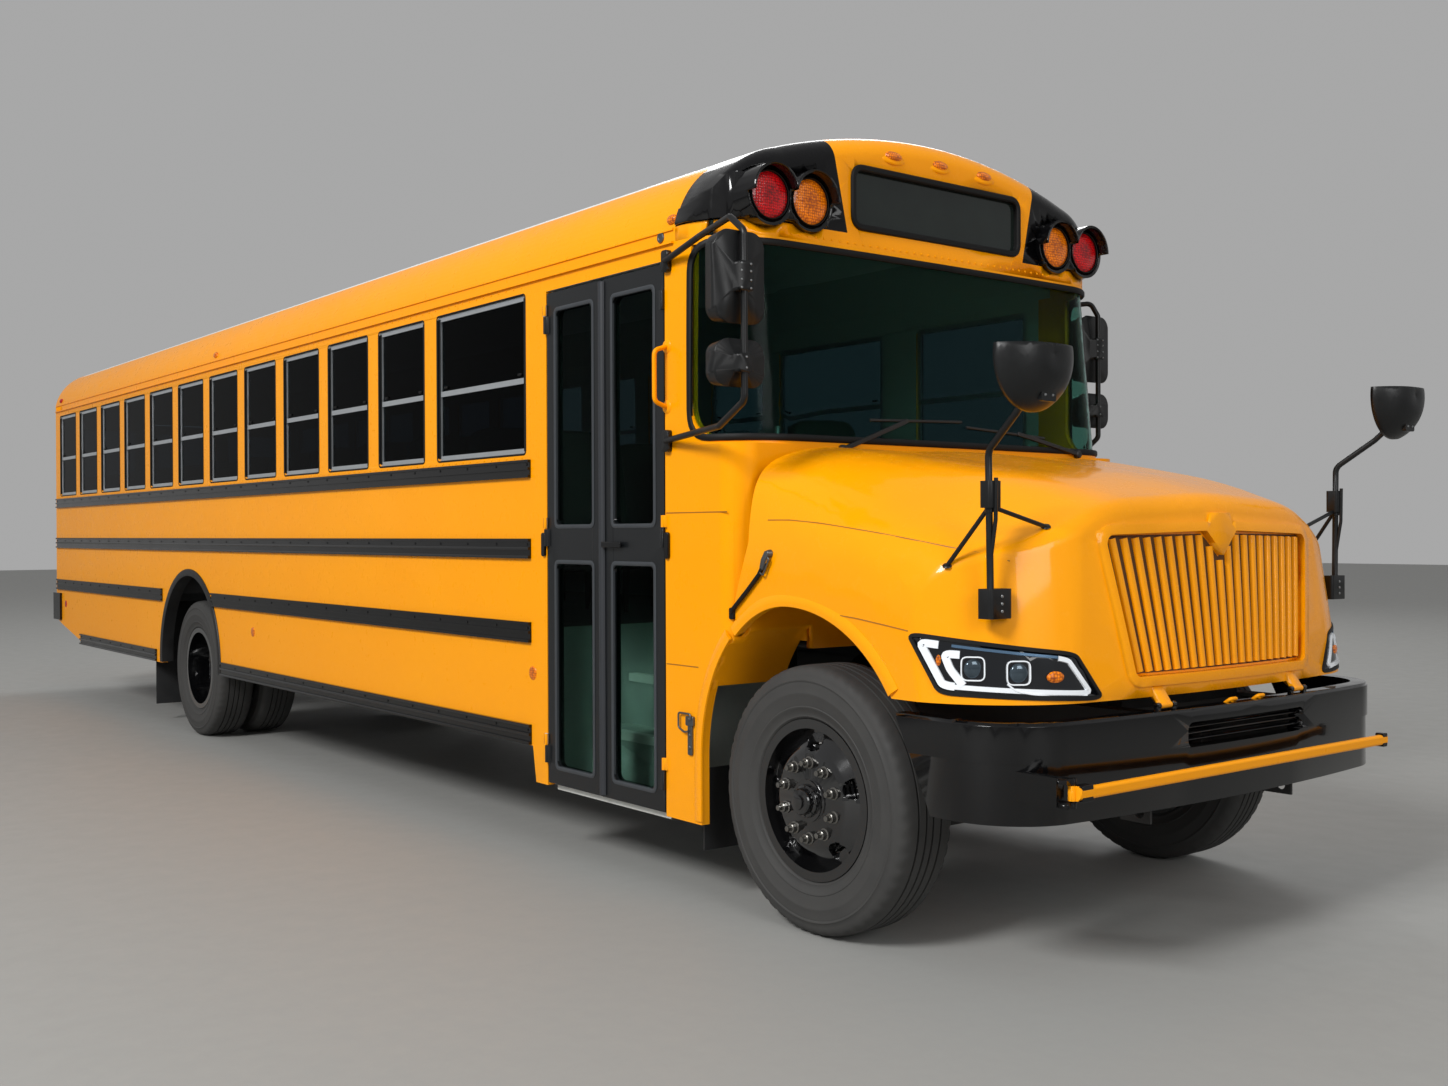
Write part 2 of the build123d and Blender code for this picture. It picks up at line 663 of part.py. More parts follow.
steering_plane = Plane(origin=(at(-1010), 560, 1790), x_dir=(0, 1, 0), z_dir=(-0.55, 0, 0.835))
with BuildPart() as steering_wheel:
    with BuildSketch(Plane(steering_plane.origin, x_dir=(0, 1, 0),
                           z_dir=steering_plane.y_dir)):
        with Locations((225, 0)):
            RegularPolygon(15, 8)
    revolve(axis=Axis(steering_plane.origin, steering_plane.z_dir))
    with BuildSketch(steering_plane.offset(-12)):
        Rectangle(440, 40)
        Circle(55)
    extrude(amount=20)
    with BuildSketch(steering_plane.offset(-12)):
        Circle(26)
    extrude(amount=-330)
steering_wheel.part.label = "steering_wheel"
export_step(steering_wheel.part, "parts/steering_wheel.step")

# Front bumper: hollow channel, swept back at the ends, with a slot in the middle
bumper_low_z = 555
bumper_high_z = 893
slot_y = 40
slot_z = 800

# Hinge line of the hood, just above the bumper's top edge
hood_hinge_x = 1014
hood_hinge_z = 912
hood_hinge_radius = 11


def bumper_plan(inset=0, rear=440):
    """Closed plan of the bumper: crowned front, rounded corners and straight returns."""
    w = 1190 - inset
    with BuildSketch(mode=Mode.PRIVATE) as plan:
        with BuildLine():
            Polyline((at(965 - inset), -w), (at(rear), -w), (at(rear), w), (at(965 - inset), w))
            ThreePointArc((at(965 - inset), w), (at(1050 - inset), 0), (at(965 - inset), -w))
        make_face()
        fillet(plan.vertices().sort_by(Axis.X)[-2:], 290 - inset)
    return plan.sketch


with BuildPart() as front_bumper:
    with BuildSketch(Plane.XY.offset(bumper_low_z)):
        add(bumper_plan())
        add(bumper_plan(55, 400), mode=Mode.SUBTRACT)
    extrude(amount=bumper_high_z - bumper_low_z)
    with BuildSketch(Plane.XY.offset(760)):
        add(bumper_plan(-6))
        add(bumper_plan(20, 400), mode=Mode.SUBTRACT)
    extrude(amount=bumper_high_z - 772)
    with BuildSketch(Plane.XZ.offset(-1300)):
        with BuildLine():
            Polyline((at(400), bumper_high_z + 5), (at(450), bumper_high_z + 5),
                     (at(620), bumper_low_z - 5), (at(400), bumper_low_z - 5), close=True)
        make_face()
    extrude(amount=2600, mode=Mode.SUBTRACT)
    with BuildSketch(Plane.YZ.offset(at(900))):
        with Locations((slot_y, slot_z)):
            RectangleRounded(760, 90, 30)
    extrude(amount=200, mode=Mode.SUBTRACT)
    with BuildSketch(Plane.YZ.offset(at(1005))):
        with Locations(*[(slot_y, slot_z + 22 * (n - 1)) for n in range(3)]):
            Rectangle(770, 9)
    extrude(amount=18)
    for y in (-470, -380, 380, 470):
        with BuildSketch(Plane.XZ.offset(-y - 9)):
            with Locations((at(hood_hinge_x), hood_hinge_z)):
                Circle(hood_hinge_radius)
            with Locations((at(hood_hinge_x), (hood_hinge_z + bumper_high_z) / 2 - 10)):
                Rectangle(16, hood_hinge_z - bumper_high_z + 20)
        extrude(amount=18)
front_bumper.part.label = "front_bumper"
export_step(front_bumper.part, "parts/front_bumper.step")

with BuildPart() as rear_bumper:
    with BuildSketch(Plane.XY.offset(700)):
        with BuildLine():
            Polyline((at(-10950), -1240), (at(-11200), -1240), (at(-11250), -1150),
                     (at(-11250), 1150), (at(-11200), 1240), (at(-10950), 1240),
                     (at(-10950), half_width), (at(body_rear), half_width),
                     (at(body_rear), -half_width), (at(-10950), -half_width), close=True)
        make_face()
    extrude(amount=260)
rear_bumper.part.label = "rear_bumper"
export_step(rear_bumper.part, "parts/rear_bumper.step")

# Rear-view mirrors: a bent tube on two wall brackets, a tall head and a short one below it,
# further back on the driver's side than at the door
mirror_table = [  # side, station of the wall brackets, station of the heads
    (-1, -850, -120),
    (1, -915, -665),
]
mirror_y = 1400
with BuildPart() as mirrors:
    for side, foot, head in mirror_table:
        reach = head - foot
        arm_path = [(at(foot), side * 1236, 2655), (at(foot + reach * 0.42), side * 1290, 2700),
                    (at(foot + reach * 0.86), side * 1385, 2710), (at(head), side * mirror_y, 2640),
                    (at(head), side * mirror_y, 2010),
                    (at(foot + reach * 0.72), side * 1360, 1930), (at(foot), side * 1236, 1905)]
        with BuildLine() as arm_line:
            FilletPolyline(*arm_path, radius=35)
        with BuildSketch(Plane(arm_line.line @ 0, z_dir=arm_line.line % 0)):
            Circle(13)
        sweep(path=arm_line.line)
        with BuildSketch(Plane.YZ.offset(at(head - 24))):
            with Locations((side * mirror_y, 2470)):
                RectangleRounded(230, 345, 60)
            with Locations((side * mirror_y, 2150)):
                RectangleRounded(230, 180, 60)
        extrude(amount=-76, taper=8)
        with BuildSketch(Plane.YZ.offset(at(head - 30))):
            with Locations((side * mirror_y, 2470)):
                RectangleRounded(70, 110, 12)
            with Locations((side * mirror_y, 2150)):
                RectangleRounded(70, 70, 12)
        extrude(amount=44)
        with BuildSketch(Plane.XZ.offset(-side * half_width)):
            with Locations((at(foot), 2655), (at(foot), 1905)):
                RectangleRounded(46, 90, 12)
        extrude(amount=-side * 22)
mirrors.part.label = "mirrors"
export_step(mirrors.part, "parts/mirrors.step")

# Mud flaps behind each axle
with BuildPart() as mud_flaps:
    for side in (-1, 1):
        with BuildSketch(Plane.YZ.offset(at(-690))):
            with Locations((side * 1022, 380)):
                Rectangle(290, 340)
        extrude(amount=8)
        with BuildSketch(Plane.YZ.offset(at(-8090))):
            with Locations((side * 896, 590)):
                Rectangle(560, 900)
        extrude(amount=8)
mud_flaps.part.label = "mud_flaps"
export_step(mud_flaps.part, "parts/mud_flaps.step")

# Chassis: two channel rails, each with a tow plate at both ends that hangs below the bumper
rail_bottom_z = 620
rail_web_y = 460
rail_sheet = 12
rail_flange = 80
tow_bore_radius = 20
tow_plates = [  # rear station, front station, low z, high z, bore station, bore z
    (850, 975, 490, 640, 930, 525),
    (-11235, -10880, 612, 697, -11190, 655),
]
with BuildPart() as chassis:
    for side in (-1, 1):
        outer_y = side * rail_web_y
        inner_y = side * (rail_web_y - rail_sheet)
        tip_y = side * (rail_web_y - rail_flange)
        with BuildSketch(Plane.YZ.offset(at(-10900))):
            with BuildLine():
                Polyline((outer_y, rail_bottom_z), (outer_y, rail_top_z), (tip_y, rail_top_z),
                         (tip_y, rail_top_z - rail_sheet), (inner_y, rail_top_z - rail_sheet),
                         (inner_y, rail_bottom_z + rail_sheet),
                         (tip_y, rail_bottom_z + rail_sheet), (tip_y, rail_bottom_z), close=True)
            make_face()
        extrude(amount=11900)
        for rear, front, low, high, bore_station, bore_z in tow_plates:
            with BuildSketch(Plane.XZ.offset(-outer_y)):
                with Locations((at((rear + front) / 2), (low + high) / 2)):
                    Rectangle(front - rear, high - low)
                with Locations((at(bore_station), bore_z)):
                    Circle(tow_bore_radius, mode=Mode.SUBTRACT)
            extrude(amount=side * rail_sheet)
    add(front_bumper.part, mode=Mode.SUBTRACT)
chassis.part.label = "chassis"
export_step(chassis.part, "parts/chassis.step")

cross_member_stations = (760, -1200, -3000, -4800, -6200, -7900, -9500, -10860)
with BuildPart() as cross_members:
    with BuildSketch(Plane.XY.offset(rail_top_z - rail_sheet)):
        with Locations(*[(at(s), 0) for s in cross_member_stations]):
            Rectangle(70, 2 * (rail_web_y - rail_sheet))
    extrude(amount=-40)
cross_members.part.label = "cross_members"
export_step(cross_members.part, "parts/cross_members.step")

with BuildPart() as engine:
    with Locations((at(150), 0, 930)):
        Box(950, 560, 700)
    with Locations((at(300), 0, 740)):
        Box(120, 896, 60)
engine.part.label = "engine"
export_step(engine.part, "parts/engine.step")

with BuildPart() as radiator:
    with Locations((at(760), 0, 1168)):
        Box(60, 740, 600)
radiator.part.label = "radiator"
export_step(radiator.part, "parts/radiator.step")

# Axles
with BuildPart() as front_axle:
    with BuildSketch(Plane.YZ.offset(at(front_wheel_x - 45))):
        with BuildLine():
            Polyline((-930, 556), (-930, 444), (-700, 430), (-560, 330), (560, 330),
                     (700, 430), (930, 444), (930, 556), (700, 540), (560, 430), (-560, 430),
                     (-700, 540), close=True)
        make_face()
    extrude(amount=90)
    with BuildSketch(Plane.XY.offset(444)):
        with Locations((at(front_wheel_x), kingpin_y), (at(front_wheel_x), -kingpin_y)):
            Circle(42)
    extrude(amount=112)
front_axle.part.label = "front_axle"
export_step(front_axle.part, "parts/front_axle.step")

with BuildPart() as rear_axle:
    with BuildSketch(Plane.XZ.offset(-560)):
        with Locations((at(-wheelbase), axle_z)):
            Circle(75)
    extrude(amount=1120)
    with BuildSketch(Plane.XZ.offset(-150)):
        with Locations((at(-wheelbase), axle_z)):
            Circle(210)
    extrude(amount=300)
rear_axle.part.label = "rear_axle"
export_step(rear_axle.part, "parts/rear_axle.step")

# Gearbox behind the engine, and the long shaft down to the rear axle
with BuildPart() as gearbox:
    with BuildSketch(Plane.YZ.offset(at(-325))):
        with Locations((0, 780)):
            Circle(175)
    extrude(amount=-600)
gearbox.part.label = "gearbox"
export_step(gearbox.part, "parts/gearbox.step")

with BuildPart() as driveline:
    with BuildSketch(Plane(origin=(at(-900), 0, 770), z_dir=(-5885, 0, -250))):
        Circle(48)
    extrude(amount=5950)
    add(gearbox.part, mode=Mode.SUBTRACT)
    add(rear_axle.part, mode=Mode.SUBTRACT)
driveline.part.label = "driveline"
export_step(driveline.part, "parts/driveline.step")

# Leaf springs: one bowed pack for each wheel station, under the rails
spring_table = [  # centre station, half length, seat z, eye z
    (front_wheel_x, 640, 430, 600),
    (-wheelbase, 700, 585, 650),
]
with BuildPart() as leaf_springs:
    for side in (-1, 1):
        for centre, half, seat_z, eye_z in spring_table:
            x = at(centre)
            with BuildSketch(Plane.XZ.offset(-side * 470)):
                with BuildLine():
                    ThreePointArc((x - half, eye_z), (x, seat_z), (x + half, eye_z))
                    Line((x + half, eye_z), (x + half, eye_z + 22))
                    ThreePointArc((x + half, eye_z + 22), (x, seat_z + 82),
                                  (x - half, eye_z + 22))
                    Line((x - half, eye_z + 22), (x - half, eye_z))
                make_face()
            extrude(amount=-side * 80)
            with BuildSketch(Plane.XZ.offset(-side * 460)):
                with Locations((x - half, eye_z + 50), (x + half, eye_z + 50)):
                    Rectangle(70, 130)
            extrude(amount=-side * 90)
leaf_springs.part.label = "leaf_springs"
export_step(leaf_springs.part, "parts/leaf_springs.step")

with BuildPart() as fuel_tank:
    with Locations((at(-4000), -760, 700)):
        Box(1500, 600, 380)
fuel_tank.part.label = "fuel_tank"
export_step(fuel_tank.part, "parts/fuel_tank.step")

with BuildPart() as exhaust:
    with BuildSketch(Plane.YZ.offset(at(-3600))):
        with Locations((590, 740)):
            Circle(130)
    extrude(amount=1200)
    with BuildSketch(Plane.YZ.offset(at(-6100))):
        with Locations((590, 740)):
            Circle(50)
    extrude(amount=2500)
exhaust.part.label = "exhaust"
export_step(exhaust.part, "parts/exhaust.step")

# Hood: one moulding of centre and fenders. Its top is lofted through sections from the cowl
# forward, its nose is cut to a plan that leans back, and the edge between them is rounded.
hood_thickness = 32
lip_z = 940
nose_edge_radius = 85
hood_sections = [  # station, centre z, then y and z of the edge, the shoulder and the crease
    (hood_tail, 1882, 990, 1842, 1136, 1768, 1192, 1606),
    (hood_rear, 1877, 985, 1838, 1130, 1762, 1190, 1600),
    (-40, 1842, 930, 1800, 1075, 1725, 1182, 1560),
    (250, 1798, 850, 1752, 1010, 1670, 1165, 1525),
    (500, 1762, 760, 1705, 930, 1615, 1130, 1480),
    (700, 1720, 690, 1655, 870, 1560, 1075, 1440),
    (1010, 1640, 600, 1575, 790, 1480, 1000, 1370),
]
fender_y = 1200


def hood_section(row, inset):
    """Closed section of the hood: crowned top, round shoulder, soft crease and fender side."""
    station, centre_z, edge_y, edge_z, shoulder_y, shoulder_height, crease_y, crease_z = row
    low = lip_z - 20
    side_y = fender_y - inset
    with BuildSketch(Plane.YZ.offset(at(station)), mode=Mode.PRIVATE) as section:
        with BuildLine():
            for side in (1, -1):
                Spline((0, centre_z - inset),
                       (side * edge_y * 0.5, centre_z * 0.75 + edge_z * 0.25 - inset),
                       (side * (edge_y - inset * 0.4), edge_z - inset),
                       (side * (shoulder_y - inset * 0.7), shoulder_height - inset * 0.8),
                       (side * (crease_y - inset), crease_z - inset * 0.4),
                       (side * side_y, 1150), (side * side_y, low),
                       tangents=[(side, 0), (0, -1)])
            Line((side_y, low), (-side_y, low))
        make_face()
    return section.sketch


def nose_plan(inset, lean):
    """Closed plan of the nose, from the lip (lean 0) to one metre above it (lean 1)."""
    side_y = fender_y + 15 - inset
    bend = (at(840 - 0.7 * inset - 90 * lean), 1030 - 0.7 * inset - 110 * lean)
    corner = (at(948 - inset - 90 * lean), 800 - 0.5 * inset - 110 * lean)
    with BuildSketch(mode=Mode.PRIVATE) as plan:
        with BuildLine():
            Polyline((at(470), side_y), (at(hood_tail - 50), side_y),
                     (at(hood_tail - 50), -side_y), (at(470), -side_y))
            for side in (1, -1):
                ThreePointArc((at(470), side * side_y), (bend[0], side * bend[1]),
                              (corner[0], side * corner[1]))
            ThreePointArc(corner, (at(1000 - inset - 80 * lean), 0), (corner[0], -corner[1]))
        make_face()
        fillet(plan.vertices().filter_by_position(Axis.Y, -1000, 1000).sort_by(Axis.X)[-2:], 150)
    return plan.sketch


def nose_form(inset, low):
    """Solid inside the leaning nose, drawn inwards by the inset."""
    with BuildPart() as nose:
        with BuildSketch(Plane.XY.offset(low)):
            add(nose_plan(inset, (low - lip_z) / 1000))
        with BuildSketch(Plane.XY.offset(lip_z + 1000)):
            add(nose_plan(inset, 1))
        loft()
    return nose.part


def hood_form(inset, low=lip_z):
    """Solid of the whole hood with its rounded nose, drawn inwards by the inset."""
    with BuildPart() as form:
        for row in hood_sections:
            add(hood_section(row, inset))
        loft()
        add(nose_form(inset, low), mode=Mode.INTERSECT)
        brow = form.edges().filter_by(lambda e: e.bounding_box().max.X > at(860)
                                      and e.bounding_box().min.Z > 1250)
        fillet(brow, nose_edge_radius - inset)
    return form.part


def grille_outline(grow=0):
    """Front view of the grille: wider at the top, with a dip under the badge."""
    with BuildSketch(mode=Mode.PRIVATE) as outline:
        with BuildLine():
            Polyline((-540, 1012), (540, 1012), (640, 1508), (95, 1522), (0, 1432),
                     (-95, 1522), (-640, 1508), close=True)
        make_face()
        fillet(outline.vertices().sort_by(Axis.Y)[:2], 30)
        fillet(outline.vertices().sort_by(Axis.X)[0:1] + outline.vertices().sort_by(Axis.X)[-1:],
               35)
        if grow:
            offset(amount=grow)
    return outline.sketch


def lamp_outline(grow=0):
    """Headlamp seen square to the hood's corner: low and long, its inner end swept in."""
    with BuildSketch(mode=Mode.PRIVATE) as outline:
        with BuildLine():
            Polyline((478, 1172), (375, 976), (-178, 952), (-82, 1106), close=True)
        make_face()
        fillet(outline.vertices(), 16)
        if grow:
            offset(amount=grow)
    return outline.sketch


badge_outline = [(-58, 1588), (58, 1588), (74, 1530), (0, 1452), (-74, 1530)]
hood_outer = hood_form(0)
hood_inner = hood_form(hood_thickness, lip_z - 20)
hood_proud = hood_form(-11)
with BuildPart() as raised_trim:
    with BuildSketch(Plane.YZ.offset(at(700))):
        add(grille_outline(34))
        add(grille_outline(), mode=Mode.SUBTRACT)
        with BuildLine():
            Polyline(*badge_outline, close=True)
        make_face()
    extrude(amount=400)
    add(hood_proud, mode=Mode.INTERSECT)
with BuildPart() as headlamps:
    for side in (-1, 1):
        lamp_plane = Plane(origin=(at(0), 0, 0), x_dir=(-side, 1, 0), z_dir=(1, side, 0))
        with BuildSketch(lamp_plane):
            if side > 0:
                add(lamp_outline())
            else:
                add(lamp_outline().mirror(Plane.YZ))
        extrude(amount=1800)
    add(hood_outer, mode=Mode.INTERSECT)
    add(hood_form(75, lip_z - 20), mode=Mode.SUBTRACT)
headlamps.part.label = "headlamps"
export_step(headlamps.part, "parts/headlamps.step")
with BuildPart() as hood:
    add(hood_outer)
    add(raised_trim.part)
    add(hood_inner, mode=Mode.SUBTRACT)
    with BuildSketch(Plane.XZ.offset(-1300)):
        with BuildLine():
            Polyline((at(hood_tail), 900), (at(hood_tail), tail_low_z),
                     (at(hood_rear), tail_high_z), (at(hood_rear), 1950),
                     (at(hood_tail - 60), 1950), (at(hood_tail - 60), 900), close=True)
        make_face()
    extrude(amount=2600, mode=Mode.SUBTRACT)
    with BuildSketch(Plane.XZ.offset(-1300)):
        add(front_arch())
    extrude(amount=2600, mode=Mode.SUBTRACT)
    with BuildSketch(Plane.YZ.offset(at(800))):
        add(grille_outline())
    extrude(amount=300, mode=Mode.SUBTRACT)
    add(headlamps.part, mode=Mode.SUBTRACT)
    for y in (-425, 425):
        with BuildSketch(Plane.XZ.offset(-y - 29)):
            with BuildLine():
                Polyline((at(960), 975), (at(982), 975), (at(hood_hinge_x + 8), hood_hinge_z + 4),
                         (at(hood_hinge_x - 6), hood_hinge_z - 6), (at(960), 948), close=True)
            make_face()
            with Locations((at(hood_hinge_x), hood_hinge_z)):
                Circle(hood_hinge_radius)
        extrude(amount=58)
hood.part.label = "hood"
export_step(hood.part, "parts/hood.step")

# Grille: upright slats in one moulding, bowed and leaning like the nose, set in its opening
slat_count = 19
slat_pitch = 54
slat_gap = 28
with BuildPart() as grille:
    add(nose_form(16, lip_z - 20))
    add(nose_form(70, lip_z - 20), mode=Mode.SUBTRACT)
    with BuildSketch(Plane.YZ.offset(at(700))):
        add(grille_outline(-1))
    extrude(amount=400, mode=Mode.INTERSECT)
    with BuildSketch(Plane.YZ.offset(at(700))):
        with Locations(*[(slat_pitch * (n - slat_count / 2 + 1), 1262)
                         for n in range(slat_count - 1)]):
            Rectangle(slat_gap, 456)
        add(grille_outline(-24), mode=Mode.INTERSECT)
    extrude(amount=400, mode=Mode.SUBTRACT)
grille.part.label = "grille"
export_step(grille.part, "parts/grille.step")

# Crossview mirrors: a post on two feet at each nose corner, with a half-moon head on a neck
crossview_x = 800
crossview_y = 1090
head_y = 1150
head_z = 2075
head_radius = 175
with BuildPart() as crossview_mirrors:
    for side in (-1, 1):
        with BuildLine() as post:
            FilletPolyline((at(crossview_x), side * crossview_y, 1235),
                           (at(crossview_x), side * (crossview_y + 10), 1790),
                           (at(crossview_x + 150), side * (head_y - 10), 1900),
                           (at(crossview_x + 215), side * head_y, 1960), radius=45)
        with BuildSketch(Plane(post.line @ 0, z_dir=post.line % 0)):
            Circle(12)
        sweep(path=post.line)
        with BuildSketch(Plane.XY.offset(1230)):
            with Locations((at(crossview_x), side * (crossview_y - 20))):
                RectangleRounded(64, 110, 14)
        extrude(amount=100)
        with BuildSketch(Plane.XY.offset(1600)):
            with Locations((at(crossview_x), side * crossview_y)):
                RectangleRounded(52, 60, 14)
        extrude(amount=90)
        with BuildSketch(Plane.XY.offset(head_z)):
            with BuildLine():
                Line((at(1018), side * head_y), (at(1018), side * head_y + head_radius))
                Line((at(1018), side * head_y + head_radius),
                     (at(1030), side * head_y + head_radius))
                ThreePointArc((at(1030), side * head_y + head_radius),
                              (at(1092), side * head_y + head_radius * 0.72),
                              (at(1118), side * head_y))
                Line((at(1118), side * head_y), (at(1018), side * head_y))
            make_face()
        revolve(axis=Axis((at(1018), side * head_y, head_z), (1, 0, 0)))
    with BuildSketch(Plane.XY.offset(head_z + 35)):
        with Locations((at(1060), 0)):
            Rectangle(400, 3000)
    extrude(amount=200, mode=Mode.SUBTRACT)
    add(hood_outer, mode=Mode.SUBTRACT)
crossview_mirrors.part.label = "crossview_mirrors"
export_step(crossview_mirrors.part, "parts/crossview_mirrors.step")

# Knuckles: kingpin boss, spindle and steering arm, one at each end of the front axle
# Wheels: a disc and rim carrying the tyre, and a drum behind; twin rims on the rear
for side, name in ((-1, "right"), (1, "left")):
    with BuildPart() as knuckle:
        with BuildSketch(Plane.XY.offset(380)):
            with Locations((at(front_wheel_x), side * kingpin_y)):
                Circle(48)
            with Locations((at(front_wheel_x), side * (kingpin_y + 30))):
                Rectangle(90, 60)
        extrude(amount=54)
        with BuildSketch(Plane.XY.offset(566)):
            with Locations((at(front_wheel_x), side * kingpin_y)):
                Circle(48)
            with Locations((at(front_wheel_x), side * (kingpin_y + 30))):
                Rectangle(90, 60)
        extrude(amount=54)
        with BuildSketch(Plane.XY.offset(380)):
            with Locations((at(front_wheel_x), side * (kingpin_y + 60))):
                Rectangle(90, 20)
        extrude(amount=240)
        with BuildSketch(Plane.XZ.offset(-side * (kingpin_y + 60))):
            with Locations((at(front_wheel_x), axle_z)):
                Circle(40)
        extrude(amount=-side * 145)
    knuckle.part.label = "knuckle_" + name
    export_step(knuckle.part, "parts/knuckle_" + name + ".step")

    with BuildPart() as front_wheel:
        with BuildSketch(Plane.YZ.offset(at(front_wheel_x))):
            y = side * front_tyre_y
            with BuildLine():
                Polyline((y - side * 115, axle_z + 305), (y - side * 105, axle_z + 305),
                         (y - side * 105, axle_z + 286), (y + side * 105, axle_z + 286),
                         (y + side * 105, axle_z + 305), (y + side * 115, axle_z + 305),
                         (y + side * 115, axle_z + 270), (y + side * 62, axle_z + 270),
                         (y + side * 120, axle_z + 175), (y + side * 120, axle_z + 80),
                         (y + side * 135, axle_z + 80), (y + side * 135, axle_z + 44),
                         (y + side * 105, axle_z + 44), (y + side * 105, axle_z + 165),
                         (y + side * 44, axle_z + 270), (y - side * 115, axle_z + 270),
                         close=True)
            make_face()
            with BuildLine():
                Polyline((y - side * 105, axle_z + 190), (y - side * 105, axle_z + 205),
                         (y + side * 92, axle_z + 205), (y + side * 92, axle_z + 80),
                         (y + side * 112, axle_z + 80), (y + side * 112, axle_z + 44),
                         (y + side * 77, axle_z + 44), (y + side * 77, axle_z + 190),
                         close=True)
            make_face()
        revolve(axis=Axis((at(front_wheel_x), 0, axle_z), (0, 1, 0)))
        with BuildSketch(Plane.XZ.offset(-side * 1300)):
            with Locations((at(front_wheel_x), axle_z)):
                with PolarLocations(hand_hole_circle, 5, start_angle=90):
                    Circle(hand_hole_radius)
        extrude(amount=side * 190, mode=Mode.SUBTRACT)
    front_wheel.part.label = "front_wheel_" + name
    export_step(front_wheel.part, "parts/front_wheel_" + name + ".step")

    with BuildPart() as rear_wheels:
        with BuildSketch(Plane.YZ.offset(at(-wheelbase))):
            for y, dish in ((side * rear_outer_y, -side), (side * rear_inner_y, side)):
                with BuildLine():
                    Polyline((y + dish * 115, axle_z + 270), (y + dish * 115, axle_z + 305),
                             (y + dish * 105, axle_z + 305), (y + dish * 105, axle_z + 286),
                             (y - dish * 105, axle_z + 286), (y - dish * 105, axle_z + 305),
                             (y - dish * 115, axle_z + 305), (y - dish * 115, axle_z + 270),
                             (y + dish * 40, axle_z + 270), (y + dish * 150, axle_z + 165),
                             (y + dish * 150, axle_z + 78), (y + dish * 165, axle_z + 78),
                             (y + dish * 165, axle_z + 170), (y + dish * 58, axle_z + 270),
                             close=True)
                make_face()
            with BuildLine():
                Polyline((side * 650, axle_z + 195), (side * 650, axle_z + 210),
                         (side * 868, axle_z + 210), (side * 868, axle_z + 60),
                         (side * 853, axle_z + 60), (side * 853, axle_z + 195), close=True)
            make_face()
        revolve(axis=Axis((at(-wheelbase), 0, axle_z), (0, 1, 0)))
        with BuildSketch(Plane.XZ.offset(-side * 1300)):
            with Locations((at(-wheelbase), axle_z)):
                with PolarLocations(hand_hole_circle + 3, 5, start_angle=90):
                    Circle(hand_hole_radius)
        extrude(amount=side * 430, mode=Mode.SUBTRACT)
        with BuildSketch(Plane.XZ.offset(-side * 565)):
            with Locations((at(-wheelbase), axle_z)):
                Circle(78)
        extrude(amount=-side * 500)
    rear_wheels.part.label = "rear_wheels_" + name
    export_step(rear_wheels.part, "parts/rear_wheels_" + name + ".step")

    tyre_sets = [("front_tyre_" + name, front_wheel_x, (side * front_tyre_y,)),
                 ("rear_tyres_" + name, -wheelbase, (side * rear_outer_y, side * rear_inner_y))]
    for label, station, centres in tyre_sets:
        with BuildPart() as tyre:
            with BuildSketch(Plane.YZ.offset(at(station))):
                for y in centres:
                    with BuildLine():
                        Polyline((y - 104, axle_z + 287), (y - 104, axle_z + 310),
                                 (y - tyre_width / 2, axle_z + 400), (y - 128, axle_z + 490),
                                 (y - 100, axle_z + tyre_radius), (y + 100, axle_z + tyre_radius),
                                 (y + 128, axle_z + 490), (y + tyre_width / 2, axle_z + 400),
                                 (y + 104, axle_z + 310), (y + 104, axle_z + 287), close=True)
                    make_face()
            revolve(axis=Axis((at(station), 0, axle_z), (0, 1, 0)))
        tyre.part.label = label
        export_step(tyre.part, "parts/" + label + ".step")

# Crossing arm on the front bumper, and the stop arm on the driver's side, each with a round
# barrel between the two lugs of its bracket
arm_hinge = (at(1112), -1060)
arm_x = 1135
arm_z = 688
with BuildPart() as crossing_arm:
    with BuildSketch(Plane.XZ.offset(1060)):
        with Locations((at(arm_x), arm_z)):
            RectangleRounded(30, 40, 12)
    extrude(amount=-1920)
    with BuildSketch(Plane.XY.offset(arm_z - 24)):
        with Locations(arm_hinge):
            Circle(14)
        with Locations((at(1124), -1046)):
            Rectangle(24, 28)
    extrude(amount=48)
crossing_arm.part.label = "crossing_arm"
export_step(crossing_arm.part, "parts/crossing_arm.step")

stop_hinge = (at(-1182), 1268)
stop_z = 1650
with BuildPart() as stop_sign:
    with BuildSketch(Plane.XZ.offset(-1262)):
        with Locations((at(-1500), stop_z)):
            RegularPolygon(230, 8, major_radius=False, rotation=22.5)
        with Locations((at(-1257), stop_z)):
            Rectangle(122, 200)
        with Locations((at(-1195), stop_z)):
            Rectangle(14, 90)
    extrude(amount=-12)
    with BuildSketch(Plane.XY.offset(stop_z - 50)):
        with Locations(stop_hinge):
            Circle(9)
    extrude(amount=100)
stop_sign.part.label = "stop_sign"
export_step(stop_sign.part, "parts/stop_sign.step")

